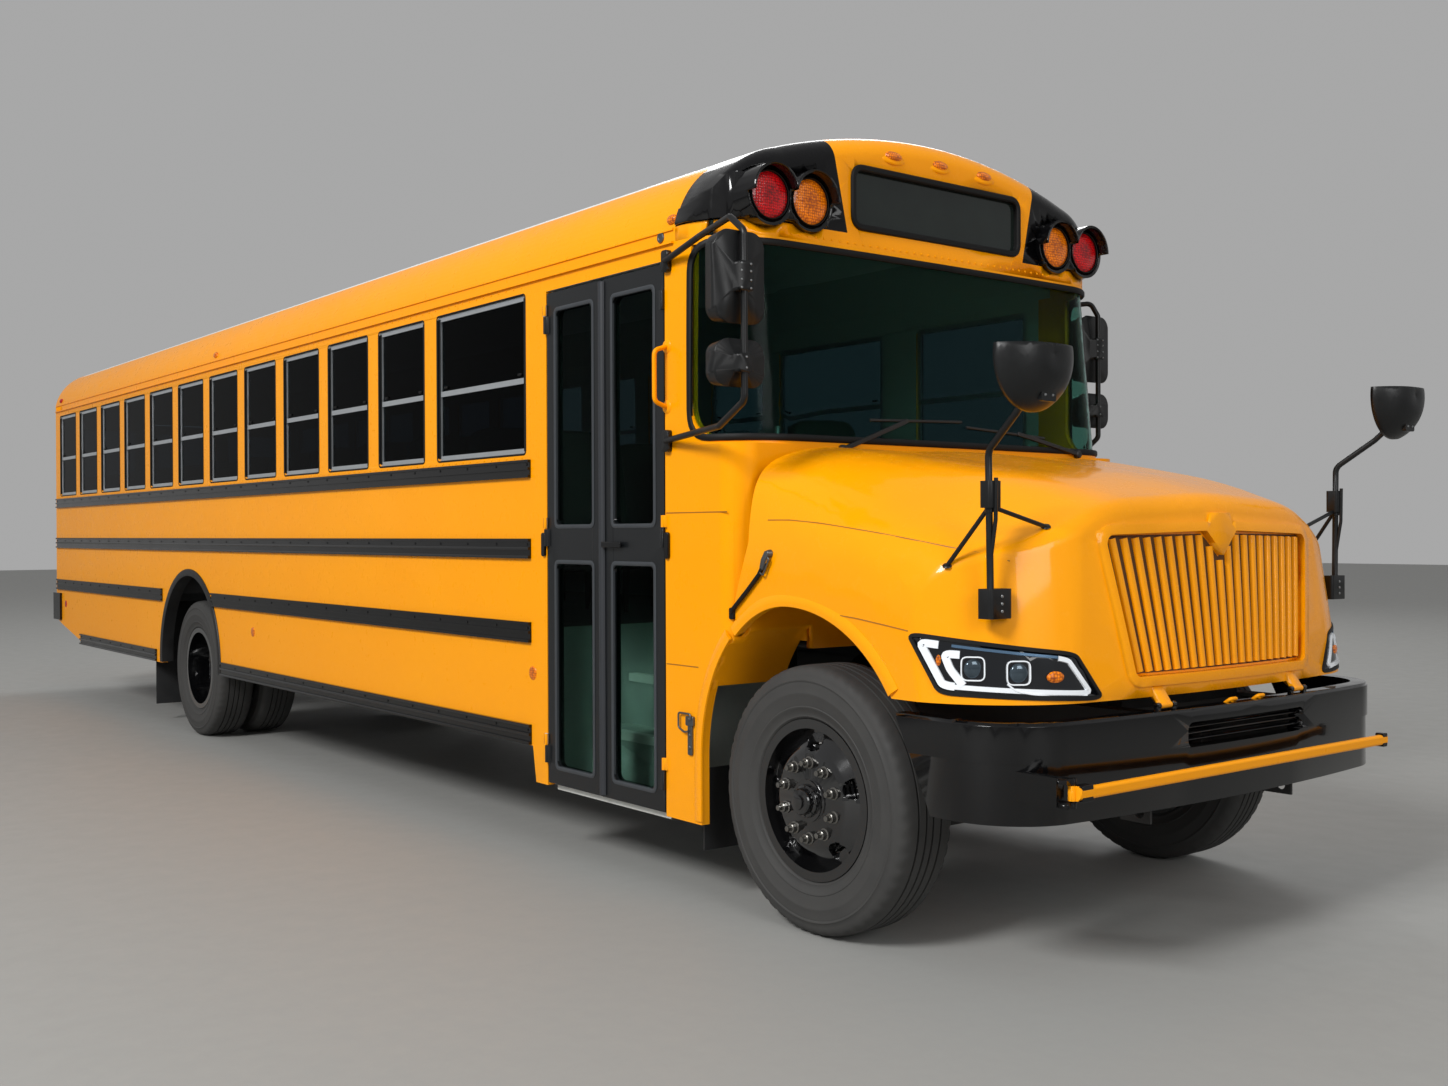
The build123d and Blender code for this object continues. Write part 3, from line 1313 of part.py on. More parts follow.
with BuildPart() as arm_brackets:
    with BuildSketch(Plane.XY.offset(arm_z - 48)):
        with Locations((at(984), -1085)):
            Rectangle(200, 36)
    extrude(amount=96)
    add(front_bumper.part, mode=Mode.SUBTRACT)
    for low in (arm_z - 48, arm_z + 29):
        with BuildSketch(Plane.XY.offset(low)):
            with Locations((at(1090), -1075)):
                Rectangle(56, 40)
            with Locations(arm_hinge):
                Circle(14)
        extrude(amount=19)
    with BuildSketch(Plane.XZ.offset(-half_width)):
        with Locations((at(-1140), stop_z)):
            Rectangle(50, 240)
    extrude(amount=-50)
    for low in (stop_z - 76, stop_z + 56):
        with BuildSketch(Plane.XY.offset(low)):
            with Locations((at(-1166), 1262)):
                Rectangle(32, 14)
            with Locations(stop_hinge):
                Circle(9)
        extrude(amount=20)
arm_brackets.part.label = "arm_brackets"
export_step(arm_brackets.part, "parts/arm_brackets.step")

# Tail lamps: brake, turn and reversing lenses in a column at each rear corner
with BuildPart() as tail_lamps:
    for side in (-1, 1):
        with BuildSketch(Plane.YZ.offset(at(body_rear))):
            with Locations((side * 960, 1660), (side * 960, 1440)):
                Circle(88)
            with Locations((side * 960, 1270)):
                Circle(52)
        extrude(amount=-22)
tail_lamps.part.label = "tail_lamps"
export_step(tail_lamps.part, "parts/tail_lamps.step")
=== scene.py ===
import json
import bmesh
import bpy
import numpy as np
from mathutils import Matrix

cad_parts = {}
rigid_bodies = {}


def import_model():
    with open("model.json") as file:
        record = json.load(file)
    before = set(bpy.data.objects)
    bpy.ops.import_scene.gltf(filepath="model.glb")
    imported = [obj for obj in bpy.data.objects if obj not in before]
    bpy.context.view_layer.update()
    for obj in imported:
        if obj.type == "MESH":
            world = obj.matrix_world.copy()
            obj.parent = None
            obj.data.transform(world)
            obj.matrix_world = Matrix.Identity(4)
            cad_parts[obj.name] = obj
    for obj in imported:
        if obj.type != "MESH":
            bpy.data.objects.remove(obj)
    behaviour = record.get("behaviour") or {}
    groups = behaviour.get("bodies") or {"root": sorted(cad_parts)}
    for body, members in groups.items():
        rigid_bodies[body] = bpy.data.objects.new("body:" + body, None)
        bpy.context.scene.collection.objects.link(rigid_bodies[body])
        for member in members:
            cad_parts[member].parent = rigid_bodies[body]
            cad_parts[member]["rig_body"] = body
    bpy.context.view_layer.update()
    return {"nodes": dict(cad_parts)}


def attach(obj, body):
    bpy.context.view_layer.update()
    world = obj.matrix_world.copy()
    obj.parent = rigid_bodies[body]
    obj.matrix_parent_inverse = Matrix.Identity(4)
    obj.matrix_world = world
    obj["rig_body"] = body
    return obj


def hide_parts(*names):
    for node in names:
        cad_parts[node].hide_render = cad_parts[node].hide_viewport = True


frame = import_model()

nodes = frame["nodes"]


def linear(code):
    """sRGB hex to linear RGBA: below 0.04045 a division by 12.92, above it the power 2.4."""
    srgb = np.array([int(code[i:i + 2], 16) for i in (1, 3, 5)]) / 255
    low, high = srgb / 12.92, ((srgb + 0.055) / 1.055) ** 2.4
    return (*np.where(srgb <= 0.04045, low, high).tolist(), 1.0)


def add_node(tree, kind, inputs=None, links=None, **settings):
    """Adds a shader node with its settings, its input values and the sockets that feed it."""
    made = tree.nodes.new(kind)
    for name, value in settings.items():
        setattr(made, name, value)
    for name, value in (inputs or {}).items():
        made.inputs[name].default_value = value
    for name, socket in (links or {}).items():
        tree.links.new(socket, made.inputs[name])
    return made


def new_material(name, **sockets):
    """A material with its node tree, its shader with the named sockets set, and the Object
    coordinates that its patterns read."""
    material = bpy.data.materials.new(name)
    material.use_nodes = True
    tree = material.node_tree
    shader = tree.nodes["Principled BSDF"]
    for socket, value in sockets.items():
        shader.inputs[socket.replace("_", " ")].default_value = value
    return material, tree, shader, add_node(tree, "ShaderNodeTexCoord").outputs["Object"]


def finish(name, colour, worn, roughness, grain, relief, **sockets):
    """One surface finish. Its colour moves between two tones over about 150 mm, its roughness
    between two values, and a noise with one cell for each length grain gives it a relief,
    both in millimetres."""
    material, tree, shader, place = new_material(name, **sockets)
    cloud = add_node(tree, "ShaderNodeTexNoise", {"Scale": 6.5, "Detail": 7.0, "Roughness": 0.6},
                     {"Vector": place})
    tone = add_node(tree, "ShaderNodeMix", {6: linear(colour), 7: linear(worn)},
                    {0: cloud.outputs["Fac"]}, data_type="RGBA")
    tree.links.new(tone.outputs[2], shader.inputs["Base Color"])
    gloss = add_node(tree, "ShaderNodeMapRange", {"From Min": 0.3, "From Max": 0.7,
                                                 "To Min": roughness[0], "To Max": roughness[1]},
                     {"Value": cloud.outputs["Fac"]})
    tree.links.new(gloss.outputs["Result"], shader.inputs["Roughness"])
    cells = add_node(tree, "ShaderNodeTexNoise", {"Scale": 1000 / grain, "Detail": 3.0},
                     {"Vector": place})
    bump = add_node(tree, "ShaderNodeBump", {"Strength": 0.5, "Distance": relief / 1000},
                    {"Height": cells.outputs["Fac"]})
    tree.links.new(bump.outputs["Normal"], shader.inputs["Normal"])
    return material


def skin(node, material, angle=32):
    """A merged copy of a CAD node that stands for it, rounded in shade below the angle."""
    mesh = nodes[node].data.copy()
    mesh.name = node + "_skin"
    shape = bmesh.new()
    shape.from_mesh(mesh)
    bmesh.ops.remove_doubles(shape, verts=shape.verts, dist=2e-5)
    shape.to_mesh(mesh)
    shape.free()
    mesh.shade_smooth()
    mesh.set_sharp_from_angle(angle=np.radians(angle))
    mesh.materials.clear()
    mesh.materials.append(material)
    piece = bpy.data.objects.new(node + "_skin", mesh)
    bpy.context.scene.collection.objects.link(piece)
    shading = piece.modifiers.new("face_weight", "WEIGHTED_NORMAL")
    shading.keep_sharp = True
    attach(piece, nodes[node]["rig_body"])
    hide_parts(node)
    return piece


station_zero = 5050  # millimetres from the shared frame's origin forward to station 0


def new_piece(name, parts, material, body, angle=32, round_edges=0):
    """A mesh of parts, each its points in millimetres, with X a station, and its faces. Points
    are moved to the shared frame, in metres, doubles merge and all faces turn outwards."""
    counts = np.cumsum([0] + [len(points) for points, faces in parts])
    corners = (np.concatenate([points for points, faces in parts]) + (station_zero, 0, 0)) / 1000
    polygons = [[index + start for index in face]
                for start, (points, faces) in zip(counts.tolist(), parts) for face in faces]
    mesh = bpy.data.meshes.new(name)
    mesh.from_pydata(corners.tolist(), [], polygons)
    shape = bmesh.new()
    shape.from_mesh(mesh)
    bmesh.ops.remove_doubles(shape, verts=shape.verts, dist=1e-6)
    bmesh.ops.recalc_face_normals(shape, faces=shape.faces)
    shape.to_mesh(mesh)
    shape.free()
    mesh.shade_smooth()
    mesh.set_sharp_from_angle(angle=np.radians(angle))
    mesh.materials.append(material)
    piece = bpy.data.objects.new(name, mesh)
    bpy.context.scene.collection.objects.link(piece)
    if round_edges:
        edges = piece.modifiers.new("rounded_edges", "BEVEL")
        edges.width = round_edges / 1000
        edges.segments = 2
        edges.limit_method = "ANGLE"
        edges.angle_limit = np.radians(40)
    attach(piece, body)
    return piece


chassis_paint = finish("matt_black_chassis_paint", "#151617", "#2E2B28", (0.55, 0.8), 6, 0.25)
for name in ("chassis", "cross_members"):
    skin(name, chassis_paint)

# Leaf springs, axles and knuckles: springs of stacked rolled leaves, a forged I-beam in front, a
# pressed and cast drive axle behind. Springs are scaled dark steel, castings rough grey iron
# under thin black paint.
spring_steel = finish("scaled_spring_steel", "#232325", "#3F3833", (0.5, 0.75), 12, 0.3,
                      Metallic=0.35)
cast_iron = finish("painted_cast_iron", "#1E1F21", "#37332F", (0.55, 0.78), 3.5, 0.5)


def grid_faces(rows, columns, wrap_rows=False, wrap_columns=False):
    """Quads of a grid of points, row by row; a wrapped side joins its last line to its first."""
    row = np.arange(rows if wrap_rows else rows - 1)[:, None]
    column = np.arange(columns if wrap_columns else columns - 1)[None, :]
    next_row, next_column = (row + 1) % rows, (column + 1) % columns
    quads = np.stack([row * columns + column, row * columns + next_column,
                      next_row * columns + next_column, next_row * columns + column], -1)
    return quads.reshape(-1, 4).tolist()


def carried(path, lift, outline, closed=False):
    """A closed outline carried along a path. Its first axis is square to the path and to the
    lift, its second is the lift itself. An open path gets flat ends."""
    path, outline = np.asarray(path, float), np.asarray(outline, float)
    if closed:
        along = np.roll(path, -1, 0) - np.roll(path, 1, 0)
    else:
        along = np.gradient(path, axis=0)
    along = along / np.linalg.norm(along, axis=1)[:, None]
    lift = np.broadcast_to(np.asarray(lift, float), path.shape)
    lift = lift - (lift * along).sum(1)[:, None] * along
    lift = lift / np.linalg.norm(lift, axis=1)[:, None]
    across = np.cross(along, lift)
    points = (path[:, None] + across[:, None] * outline[None, :, :1]
              + lift[:, None] * outline[None, :, 1:]).reshape(-1, 3)
    faces = grid_faces(len(path), len(outline), closed, True)
    if not closed:
        last = (len(path) - 1) * len(outline)
        faces += [list(range(len(outline))), list(range(last, last + len(outline)))]
    return points, faces


def ring(radius, sides=12):
    """Points of a circle."""
    turn = np.arange(sides) * 2 * np.pi / sides
    return np.stack([radius * np.cos(turn), radius * np.sin(turn)], 1)


front_axle, rear_axle = -40, -7010  # stations
leaf_drop, leaf_shorter = 13.6, 0.13  # from each leaf to the next, in millimetres and as a share
leaf_section = [(-38, -12), (38, -12), (38, 0), (-38, 0)]
hanger = [(-30, -10), (30, -10), (20, 110), (-20, 110)]
leaves = []
for side in (-1, 1):
    inner_y, spring_y, outer_y = side * 386, side * 430, side * 474
    for centre, half, seat_z, eye_z in ((front_axle, 640, 430, 600), (rear_axle, 700, 585, 650)):
        for n in range(6):
            reach = half * (1 - leaf_shorter * n)
            x = np.linspace(-reach, reach, 17)
            z = seat_z + 82 - leaf_drop * n + (eye_z - seat_z - 60) * (x / half) ** 2
            path = np.stack([centre + x, np.full(17, spring_y), z], 1)
            leaves.append(carried(path, (0, 0, 1), leaf_section))
        for x in (centre - half, centre + half):
            path = [(x, side * 380, eye_z), (x, outer_y, eye_z)]
            leaves.append(carried(path, (0, 0, 1), hanger))
        for x in (centre - 50, centre + 50):
            loop = [(x, inner_y, seat_z - 8), (x, inner_y, seat_z + 105),
                    (x, outer_y, seat_z + 105), (x, outer_y, seat_z - 8)]
            leaves.append(carried(loop, (1, 0, 0), ring(8, 8), closed=True))
piece = new_piece("spring_leaves", leaves, spring_steel, "bus_body",
                  round_edges=1.5)
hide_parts("leaf_springs")
for name in ("front_axle", "rear_axle", "knuckle_left", "knuckle_right", "gearbox"):
    skin(name, cast_iron)
skin("driveline", chassis_paint)

# Engine, radiator, tank and exhaust: a grey-painted iron block under the hood, a finned
# aluminium core, a folded steel tank on straps, and a bare aluminised exhaust that has
# blued and browned with heat.
engine_paint = finish("engine_enamel", "#2F3438", "#1D1D1D", (0.35, 0.6), 5, 0.4)
exhaust_steel = finish("heat_stained_steel", "#6E665C", "#4A4038", (0.35, 0.6), 9, 0.15,
                       Metallic=0.9)
core_fins = finish("radiator_core", "#26282A", "#121314", (0.5, 0.7), 2.5, 1.5, Metallic=0.5)
tank_paint = finish("satin_tank_enamel", "#17181A", "#2B2926", (0.35, 0.55), 7, 0.1)
skin("engine", engine_paint)
skin("radiator", core_fins)
skin("fuel_tank", tank_paint)
skin("exhaust", exhaust_steel)
straps = []
for station in (-4550, -4000, -3450):
    loop = [(station, -456, 894), (station, -1064, 894), (station, -1064, 506),
            (station, -456, 506)]
    straps.append(carried(loop, (1, 0, 0), [(-3, -30), (3, -30), (3, 30), (-3, 30)], closed=True))
new_piece("tank_straps", straps, exhaust_steel, "bus_body")

# Floor and entry well: plywood on steel, faced with ribbed black rubber, and three folded
# steps with a white nosing strip that warns the foot.
floor_rubber = finish("ribbed_floor_rubber", "#242628", "#35373A", (0.55, 0.75), 5, 0.5)
step_steel = finish("worn_step_tread", "#A7B3AE", "#87928E", (0.4, 0.65), 8, 0.4)
nosing_white = finish("white_step_nosing", "#E4E6E2", "#C9CBC6", (0.45, 0.6), 4, 0.3)
skin("floor", floor_rubber)
skin("entry_steps", step_steel)


def plate(outline, origin, depth, first=(1, 0, 0), second=(0, 0, 1)):
    """A flat closed outline placed by an origin and two directions, given a depth along
    their cross product. Without directions it faces right; with first (0, 1, 0), forward."""
    outline = np.asarray(outline, float)
    first, second = np.asarray(first, float), np.asarray(second, float)
    base = np.asarray(origin, float) + outline[:, :1] * first + outline[:, 1:] * second
    points = np.concatenate([base, base + np.cross(first, second) * depth])
    n = len(outline)
    around = np.arange(n)
    sides = np.stack([around, (around + 1) % n, (around + 1) % n + n, around + n], 1).tolist()
    return points, [list(range(n)), list(range(n, 2 * n))] + sides


def rectangle(width, height, centre=(0, 0)):
    """Four corners of an upright rectangle."""
    return np.array([(-1, -1), (1, -1), (1, 1), (-1, 1)]) * (width / 2, height / 2) + centre


door_centre = -1357.5  # station where the two door leaves meet
nosings = []
for edge_y, tread_z in ((-1175, 345), (-972, 588.3), (-767, 831.6)):
    nosings.append(plate(rectangle(915, 40), (door_centre, edge_y - 1, tread_z - 16), 3))
    nosings.append(plate(rectangle(915, 46), (door_centre, edge_y + 20, tread_z), 3,
                         second=(0, 1, 0)))
new_piece("step_nosings", nosings, nosing_white, "bus_body")
hand_rail = finish("brushed_rail_steel", "#B9BDBE", "#9BA0A2", (0.22, 0.4), 3, 0.05, Metallic=1.0)
rail_path = [(-930, -1100, 690), (-930, -900, 960), (-930, -700, 1240), (-930, -600, 1420),
             (-930, -560, 1700), (-930, -560, 2000)]
new_piece("entry_hand_rail", [carried(rail_path, (1, 0, 0), ring(16))], hand_rail, "bus_body")

# Body shell: side sheets, rear wall, cowl and windshield band of galvanised steel, riveted and
# sprayed with a full coat of school bus yellow. The enamel is glossy, with a fine orange
# peel, the large sheets ripple a little, and road film dulls the skirt.


def enamel(name, colour, deeper, roughness, film, ripple=0.0008, coat=0.06, level=0.12,
           lined=False):
    """Sprayed enamel on sheet. Tone varies over a metre, a dusty film fades out with height
    above the ground, orange peel has 5 mm cells and the sheet ripples over 400 mm. A lined
    sheet is pale grey where its normal points at the middle of the cabin, 1.9 m up."""
    material, tree, shader, place = new_material(
        name, Coat_Weight=coat, Coat_Roughness=0.05, Specular_IOR_Level=level)
    cloud = add_node(tree, "ShaderNodeTexNoise", {"Scale": 1.1, "Detail": 4.0},
                     {"Vector": place})
    tone = add_node(tree, "ShaderNodeMix", {6: linear(colour), 7: linear(deeper)},
                    {0: cloud.outputs["Fac"]}, data_type="RGBA")
    axes = add_node(tree, "ShaderNodeSeparateXYZ", links={"Vector": place})
    low = add_node(tree, "ShaderNodeMapRange", {"From Min": 0.35, "From Max": 1.25,
                                               "To Min": film, "To Max": 0.0},
                   {"Value": axes.outputs["Z"]})
    specks = add_node(tree, "ShaderNodeTexNoise", {"Scale": 14.0, "Detail": 9.0, "Roughness": 0.7},
                      {"Vector": place})
    dusty = add_node(tree, "ShaderNodeMath",
                     links={0: low.outputs["Result"], 1: specks.outputs["Fac"]},
                     operation="MULTIPLY")
    seen = add_node(tree, "ShaderNodeMix", {7: linear("#8F7F68")},
                    {0: dusty.outputs[0], 6: tone.outputs[2]}, data_type="RGBA")
    if lined:
        outward = add_node(tree, "ShaderNodeVectorMath", {1: (0, 1, 1), 2: (0, 0, -1.9)},
                           {0: place}, operation="MULTIPLY_ADD")
        surface = add_node(tree, "ShaderNodeNewGeometry")
        facing = add_node(tree, "ShaderNodeVectorMath", links={0: outward.outputs[0],
                                                              1: surface.outputs["True Normal"]},
                          operation="DOT_PRODUCT")
        inside = add_node(tree, "ShaderNodeMath", {1: -0.2}, {0: facing.outputs["Value"]},
                          operation="LESS_THAN")
        seen = add_node(tree, "ShaderNodeMix", {7: linear("#C3C8C5")},
                        {0: inside.outputs[0], 6: seen.outputs[2]}, data_type="RGBA")
    tree.links.new(seen.outputs[2], shader.inputs["Base Color"])
    gloss = add_node(tree, "ShaderNodeMapRange", {"From Min": 0.35, "From Max": 0.65,
                                                 "To Min": roughness[0], "To Max": roughness[1]},
                     {"Value": specks.outputs["Fac"]})
    dulled = add_node(tree, "ShaderNodeMath",
                      links={0: gloss.outputs["Result"], 1: dusty.outputs[0]},
                      operation="ADD")
    tree.links.new(dulled.outputs[0], shader.inputs["Roughness"])
    waves = add_node(tree, "ShaderNodeTexNoise", {"Scale": 2.5, "Detail": 1.0},
                     {"Vector": place})
    sheet_bump = add_node(tree, "ShaderNodeBump", {"Strength": 0.4, "Distance": ripple},
                          {"Height": waves.outputs["Fac"]})
    peel = add_node(tree, "ShaderNodeTexNoise", {"Scale": 200.0, "Detail": 2.0},
                    {"Vector": place})
    bump = add_node(tree, "ShaderNodeBump", {"Strength": 0.02, "Distance": 0.0002},
                    {"Height": peel.outputs["Fac"], "Normal": sheet_bump.outputs["Normal"]})
    tree.links.new(bump.outputs["Normal"], shader.inputs["Normal"])
    return material, tree, shader, axes, seen


bus_yellow, deep_yellow = "#FFA500", "#FC9E00"
yellow_paint = enamel("school_bus_yellow_enamel", bus_yellow, deep_yellow, (0.24, 0.38), 0.1)[0]
lined_paint = enamel("yellow_enamel_with_grey_lining", bus_yellow, deep_yellow, (0.24, 0.38),
                     0.1, lined=True)[0]
for name in ("side_wall_left", "side_wall_right"):
    skin(name, lined_paint)
for name in ("rear_wall", "cowl", "windshield_frame"):
    skin(name, yellow_paint)

# Rivets and drip rails: dome rivets 12 mm across in rows along the sheets' laps, and a rolled
# gutter over the windows that keeps rain off the door.


def studs(places, facing, radius, height):
    """Low domes at places, all turned one way: two rings and a top, scaled from a unit dome."""
    turn = np.arange(8) * np.pi / 4
    circle = np.stack([np.cos(turn), np.sin(turn), np.zeros(8)], 1)
    unit = np.concatenate([circle, circle * 0.72 + (0, 0, 0.72), [(0, 0, 1)]])
    facing = np.asarray(facing, float)
    first = np.cross(facing, (0.3, 0.2, 0.9))
    first /= np.linalg.norm(first)
    turned_unit = (unit[:, :1] * first * radius + unit[:, 1:2] * np.cross(facing, first) * radius
                   + unit[:, 2:] * facing * height)
    places = np.asarray(places, float)
    points = (places[:, None] + turned_unit[None]).reshape(-1, 3)
    around = np.arange(8)
    follow = (around + 1) % 8
    walls = np.stack([around, follow, follow + 8, around + 8], 1)
    crown = np.stack([around + 8, follow + 8, np.full(8, 16)], 1)
    starts = np.arange(len(places)) * 17
    faces = (starts[:, None, None] + walls).reshape(-1, 4).tolist()
    return points, faces + (starts[:, None, None] + crown).reshape(-1, 3).tolist()


body_side = 1219  # half the width over the side sheets
along = np.arange(-11110, -1990, 76.0)
beside_arch = along[(along < -7800) | (along > -6400)]
rivets, gutter = [], []
for side in (-1, 1):
    for z, row_x in ((2712, along), (1888, along), (1390, along), (985, beside_arch)):
        places = np.stack([row_x, np.full(len(row_x), side * (body_side + 0.5)),
                           np.full(len(row_x), z)], 1)
        rivets.append(studs(places, (0, side, 0), 6, 3))
    for z, proud in ((2731, 16), (2786, 9)):
        path = [(-11130, side * (body_side - 2), z), (-812, side * (body_side - 2), z)]
        outline = [(-6, -2), (-6, proud), (0, proud), (4, 4), (6, -2)]
        gutter.append(carried(path, (0, side, 0), np.array(outline) * (side, 1)))
new_piece("wall_rivets", rivets, yellow_paint, "bus_body")
new_piece("drip_rails", gutter, yellow_paint, "bus_body")

# Rub rails: roll-formed steel guards with three ribs, sprayed satin black and bolted over the
# yellow sheet at bumper, floor, seat and window height.
satin_black = finish("satin_black_enamel", "#060607", "#0B0B0C", (0.14, 0.24), 5, 0.03,
                     Coat_Weight=0.1, Specular_IOR_Level=0.3)
skin("rub_rails", satin_black)
rail_bolts = []
bolt_gap, above_edge = 300, 20
for side in (-1, 1):
    for start, end, z in ((-2010, -11090, 1833), (-2010, -11090, 1448), (-2010, -6600, 1045),
                          (-7780, -11090, 1045), (-2010, -6400, 553), (-7940, -10230, 553)):
        x = np.linspace(start, end, int(abs(end - start) / bolt_gap) + 1)
        places = np.stack([x, np.full(len(x), side * (body_side + 7)),
                           np.full(len(x), z + above_edge)], 1)
        rail_bolts.append(studs(places, (0, side, 0), 7, 5))
new_piece("rail_bolts", rail_bolts, satin_black, "bus_body")

# Rear arch trim: a strip of dull, moulded black rubber pressed on round the rear wheel openings.
# Its lip, 75 mm deep, turns in behind the sheet and hides the cut edge.
arch_x, arch_z, arch_radius = -7100, 555, 676
arch_trim = []
turn = np.radians(np.linspace(-4, 184, 60))
trim_outline = np.array([(-30, -3), (17, -3), (17, -78), (22, -78), (22, 10), (-24, 14), (-30, 8)])
for side in (-1, 1):
    path = np.stack([arch_x + arch_radius * np.cos(turn), np.full(60, side * (body_side - 1)),
                     arch_z + arch_radius * np.sin(turn)], 1)
    arch_trim.append(carried(path, (0, side, 0), trim_outline * (side, 1)))
trim_rubber = finish("moulded_arch_rubber", "#0D0D0E", "#191919", (0.4, 0.6), 6, 0.2)
new_piece("rear_arch_trim", arch_trim, trim_rubber, "bus_body", angle=50)

# Side windows: split sash in natural aluminium frames, with dark tinted glass held in black
# rubber. The frames are extruded and lightly brushed, dulled by weather.
aluminium = finish("weathered_aluminium", "#D6DADD", "#BCC2C6", (0.28, 0.42), 3, 0.05,
                   Metallic=0.85)
rubber = finish("black_window_rubber", "#070708", "#0E0E0E", (0.45, 0.65), 4, 0.15,
                Specular_IOR_Level=0.25)
skin("window_frames", aluminium)


def tinted(name, colour, through, ior):
    """Tinted pane: clear and smooth to the eye, with a faint wave, while light for shadows
    passes straight through a filter of the second colour."""
    material, tree, shader, place = new_material(
        name, Base_Color=linear(colour), Roughness=0.015, Transmission_Weight=1.0, IOR=ior)
    wave = add_node(tree, "ShaderNodeTexNoise", {"Scale": 3.0}, {"Vector": place})
    bump = add_node(tree, "ShaderNodeBump", {"Strength": 0.15, "Distance": 0.0012},
                    {"Height": wave.outputs["Fac"]})
    tree.links.new(bump.outputs["Normal"], shader.inputs["Normal"])
    rays = add_node(tree, "ShaderNodeLightPath")
    passing = add_node(tree, "ShaderNodeBsdfTransparent", {"Color": linear(through)})
    both = add_node(tree, "ShaderNodeMixShader", links={0: rays.outputs["Is Shadow Ray"],
                                                      1: shader.outputs[0], 2: passing.outputs[0]})
    tree.links.new(both.outputs[0], tree.nodes["Material Output"].inputs["Surface"])
    return material


dark_glass = tinted("privacy_tinted_glass", "#34434D", "#5C6A72", 1.07)
clear_glass = tinted("green_tinted_windshield", "#86AFA5", "#B4CEC7", 1.1)
skin("window_glass", dark_glass)


def rounded(corners, radius, closed=True, steps=6):
    """Each corner becomes a quadratic curve between the points one radius before and after it.
    An open line keeps its two ends."""
    corners = np.asarray(corners, float)
    before = np.roll(corners, 1, 0) - corners
    after = np.roll(corners, -1, 0) - corners
    start = corners + before / np.linalg.norm(before, axis=1)[:, None] * radius
    end = corners + after / np.linalg.norm(after, axis=1)[:, None] * radius
    t = np.linspace(0, 1, steps)[None, :, None]
    curve = ((1 - t) ** 2 * start[:, None] + 2 * t * (1 - t) * corners[:, None]
             + t ** 2 * end[:, None])
    if closed:
        return curve.reshape(-1, corners.shape[1])
    middle = curve[1:-1].reshape(-1, corners.shape[1])
    return np.concatenate([corners[:1], middle, corners[-1:]])


def upright(outline, y=None, x=None):
    """A flat outline stood up as a line in space: in a plane of constant Y, or of constant X."""
    first, second = outline[:, 0], outline[:, 1]
    if x is None:
        return np.stack([first, np.full(len(first), float(y)), second], 1)
    return np.stack([np.full(len(first), float(x)), first, second], 1)


bay = 728  # from one window post, or one roof hoop, to the next
window_z, rear_face = 2290, -11150  # middle of the windows, station of the rear sheet
window_list = [(-2497, 928)] + [(-3404 - bay * n, 578) for n in range(11)]
seals, latches = [], []
for side in (-1, 1):
    driver_window = [(-1360, 800)] if side > 0 else []
    for centre, width in window_list + driver_window:
        outer = rounded(rectangle(width + 4, 774, (centre, window_z)), 24)
        seals.append(carried(upright(outer, y=side * (body_side - 2)), (0, side, 0), ring(5.5, 8),
                             closed=True))
        for edge in (-width / 2 + 13, width / 2 - 13):
            stile = rectangle(25, 742, (-side * (centre + edge), window_z))
            seals.append(plate(stile, (0, side * 1210, 0), 3, (-side, 0, 0)))
    for centre, width in window_list:
        for shift in (-width / 2 + 75, width / 2 - 75):
            grip = rectangle(34, 12, (centre + shift, window_z + 6))
            latches.append(plate(grip, (0, side * 1196, 0), 14))
for y in (-760, 760):
    outer = rounded(rectangle(612, 652, (y, 2250)), 30)
    seals.append(carried(upright(outer, x=rear_face - 2), (-1, 0, 0), ring(15, 8), closed=True))
new_piece("window_seals", seals, rubber, "bus_body", angle=60)
new_piece("sash_latches", latches, rubber, "bus_body", round_edges=2)

# Roof: bowed galvanised sheets riveted over hoops, yellow down to the gutter and white along
# the middle, which keeps the cabin cooler. Lap seams run across it at each hoop.
roof_paint, tree, shader, axes, seen = enamel(
    "yellow_roof_with_white_top", bus_yellow, deep_yellow, (0.25, 0.4), 0.0, lined=True)
sideways = add_node(tree, "ShaderNodeMath", links={0: axes.outputs["Y"]}, operation="ABSOLUTE")
middle = add_node(tree, "ShaderNodeMath", {1: 1.03}, {0: sideways.outputs[0]},
                  operation="LESS_THAN")
topcoat = add_node(tree, "ShaderNodeMix", {7: linear("#EDEEEC")},
                   {0: middle.outputs[0], 6: seen.outputs[2]}, data_type="RGBA")
tree.links.new(topcoat.outputs[2], shader.inputs["Base Color"])
skin("roof", roof_paint)


def roof_line(proud):
    """Y and Z round the roof from one gutter to the other: a circle for each side up to the
    edge of the top, and a flat circle over the middle, moved out by proud."""
    def arc(start, mid, end, count):
        """Points on the circle through three points. Its centre is as far from the first as
        from each of the others, which gives two equations."""
        start, mid, end = (np.array(p, float) for p in (start, mid, end))
        rows = 2 * np.stack([mid - start, end - start])
        values = np.array([mid @ mid - start @ start, end @ end - start @ start])
        centre = np.linalg.solve(rows, values)
        first = np.arctan2(*(start - centre)[::-1])
        last = np.arctan2(*(end - centre)[::-1])
        turn = np.linspace(first, last, count)
        radius = np.linalg.norm(start - centre) + proud
        return centre + radius * np.stack([np.cos(turn), np.sin(turn)], 1)
    gutter_edge, shoulder, top_edge, ridge = (1219, 2790), (1150, 2952), (900, 3120), (0, 3260)
    left = arc(gutter_edge, shoulder, top_edge, 11)
    top = arc(top_edge, ridge, (-900, 3120), 22)
    return np.concatenate([left[:-1], top[:-1], left[::-1] * (-1, 1)])


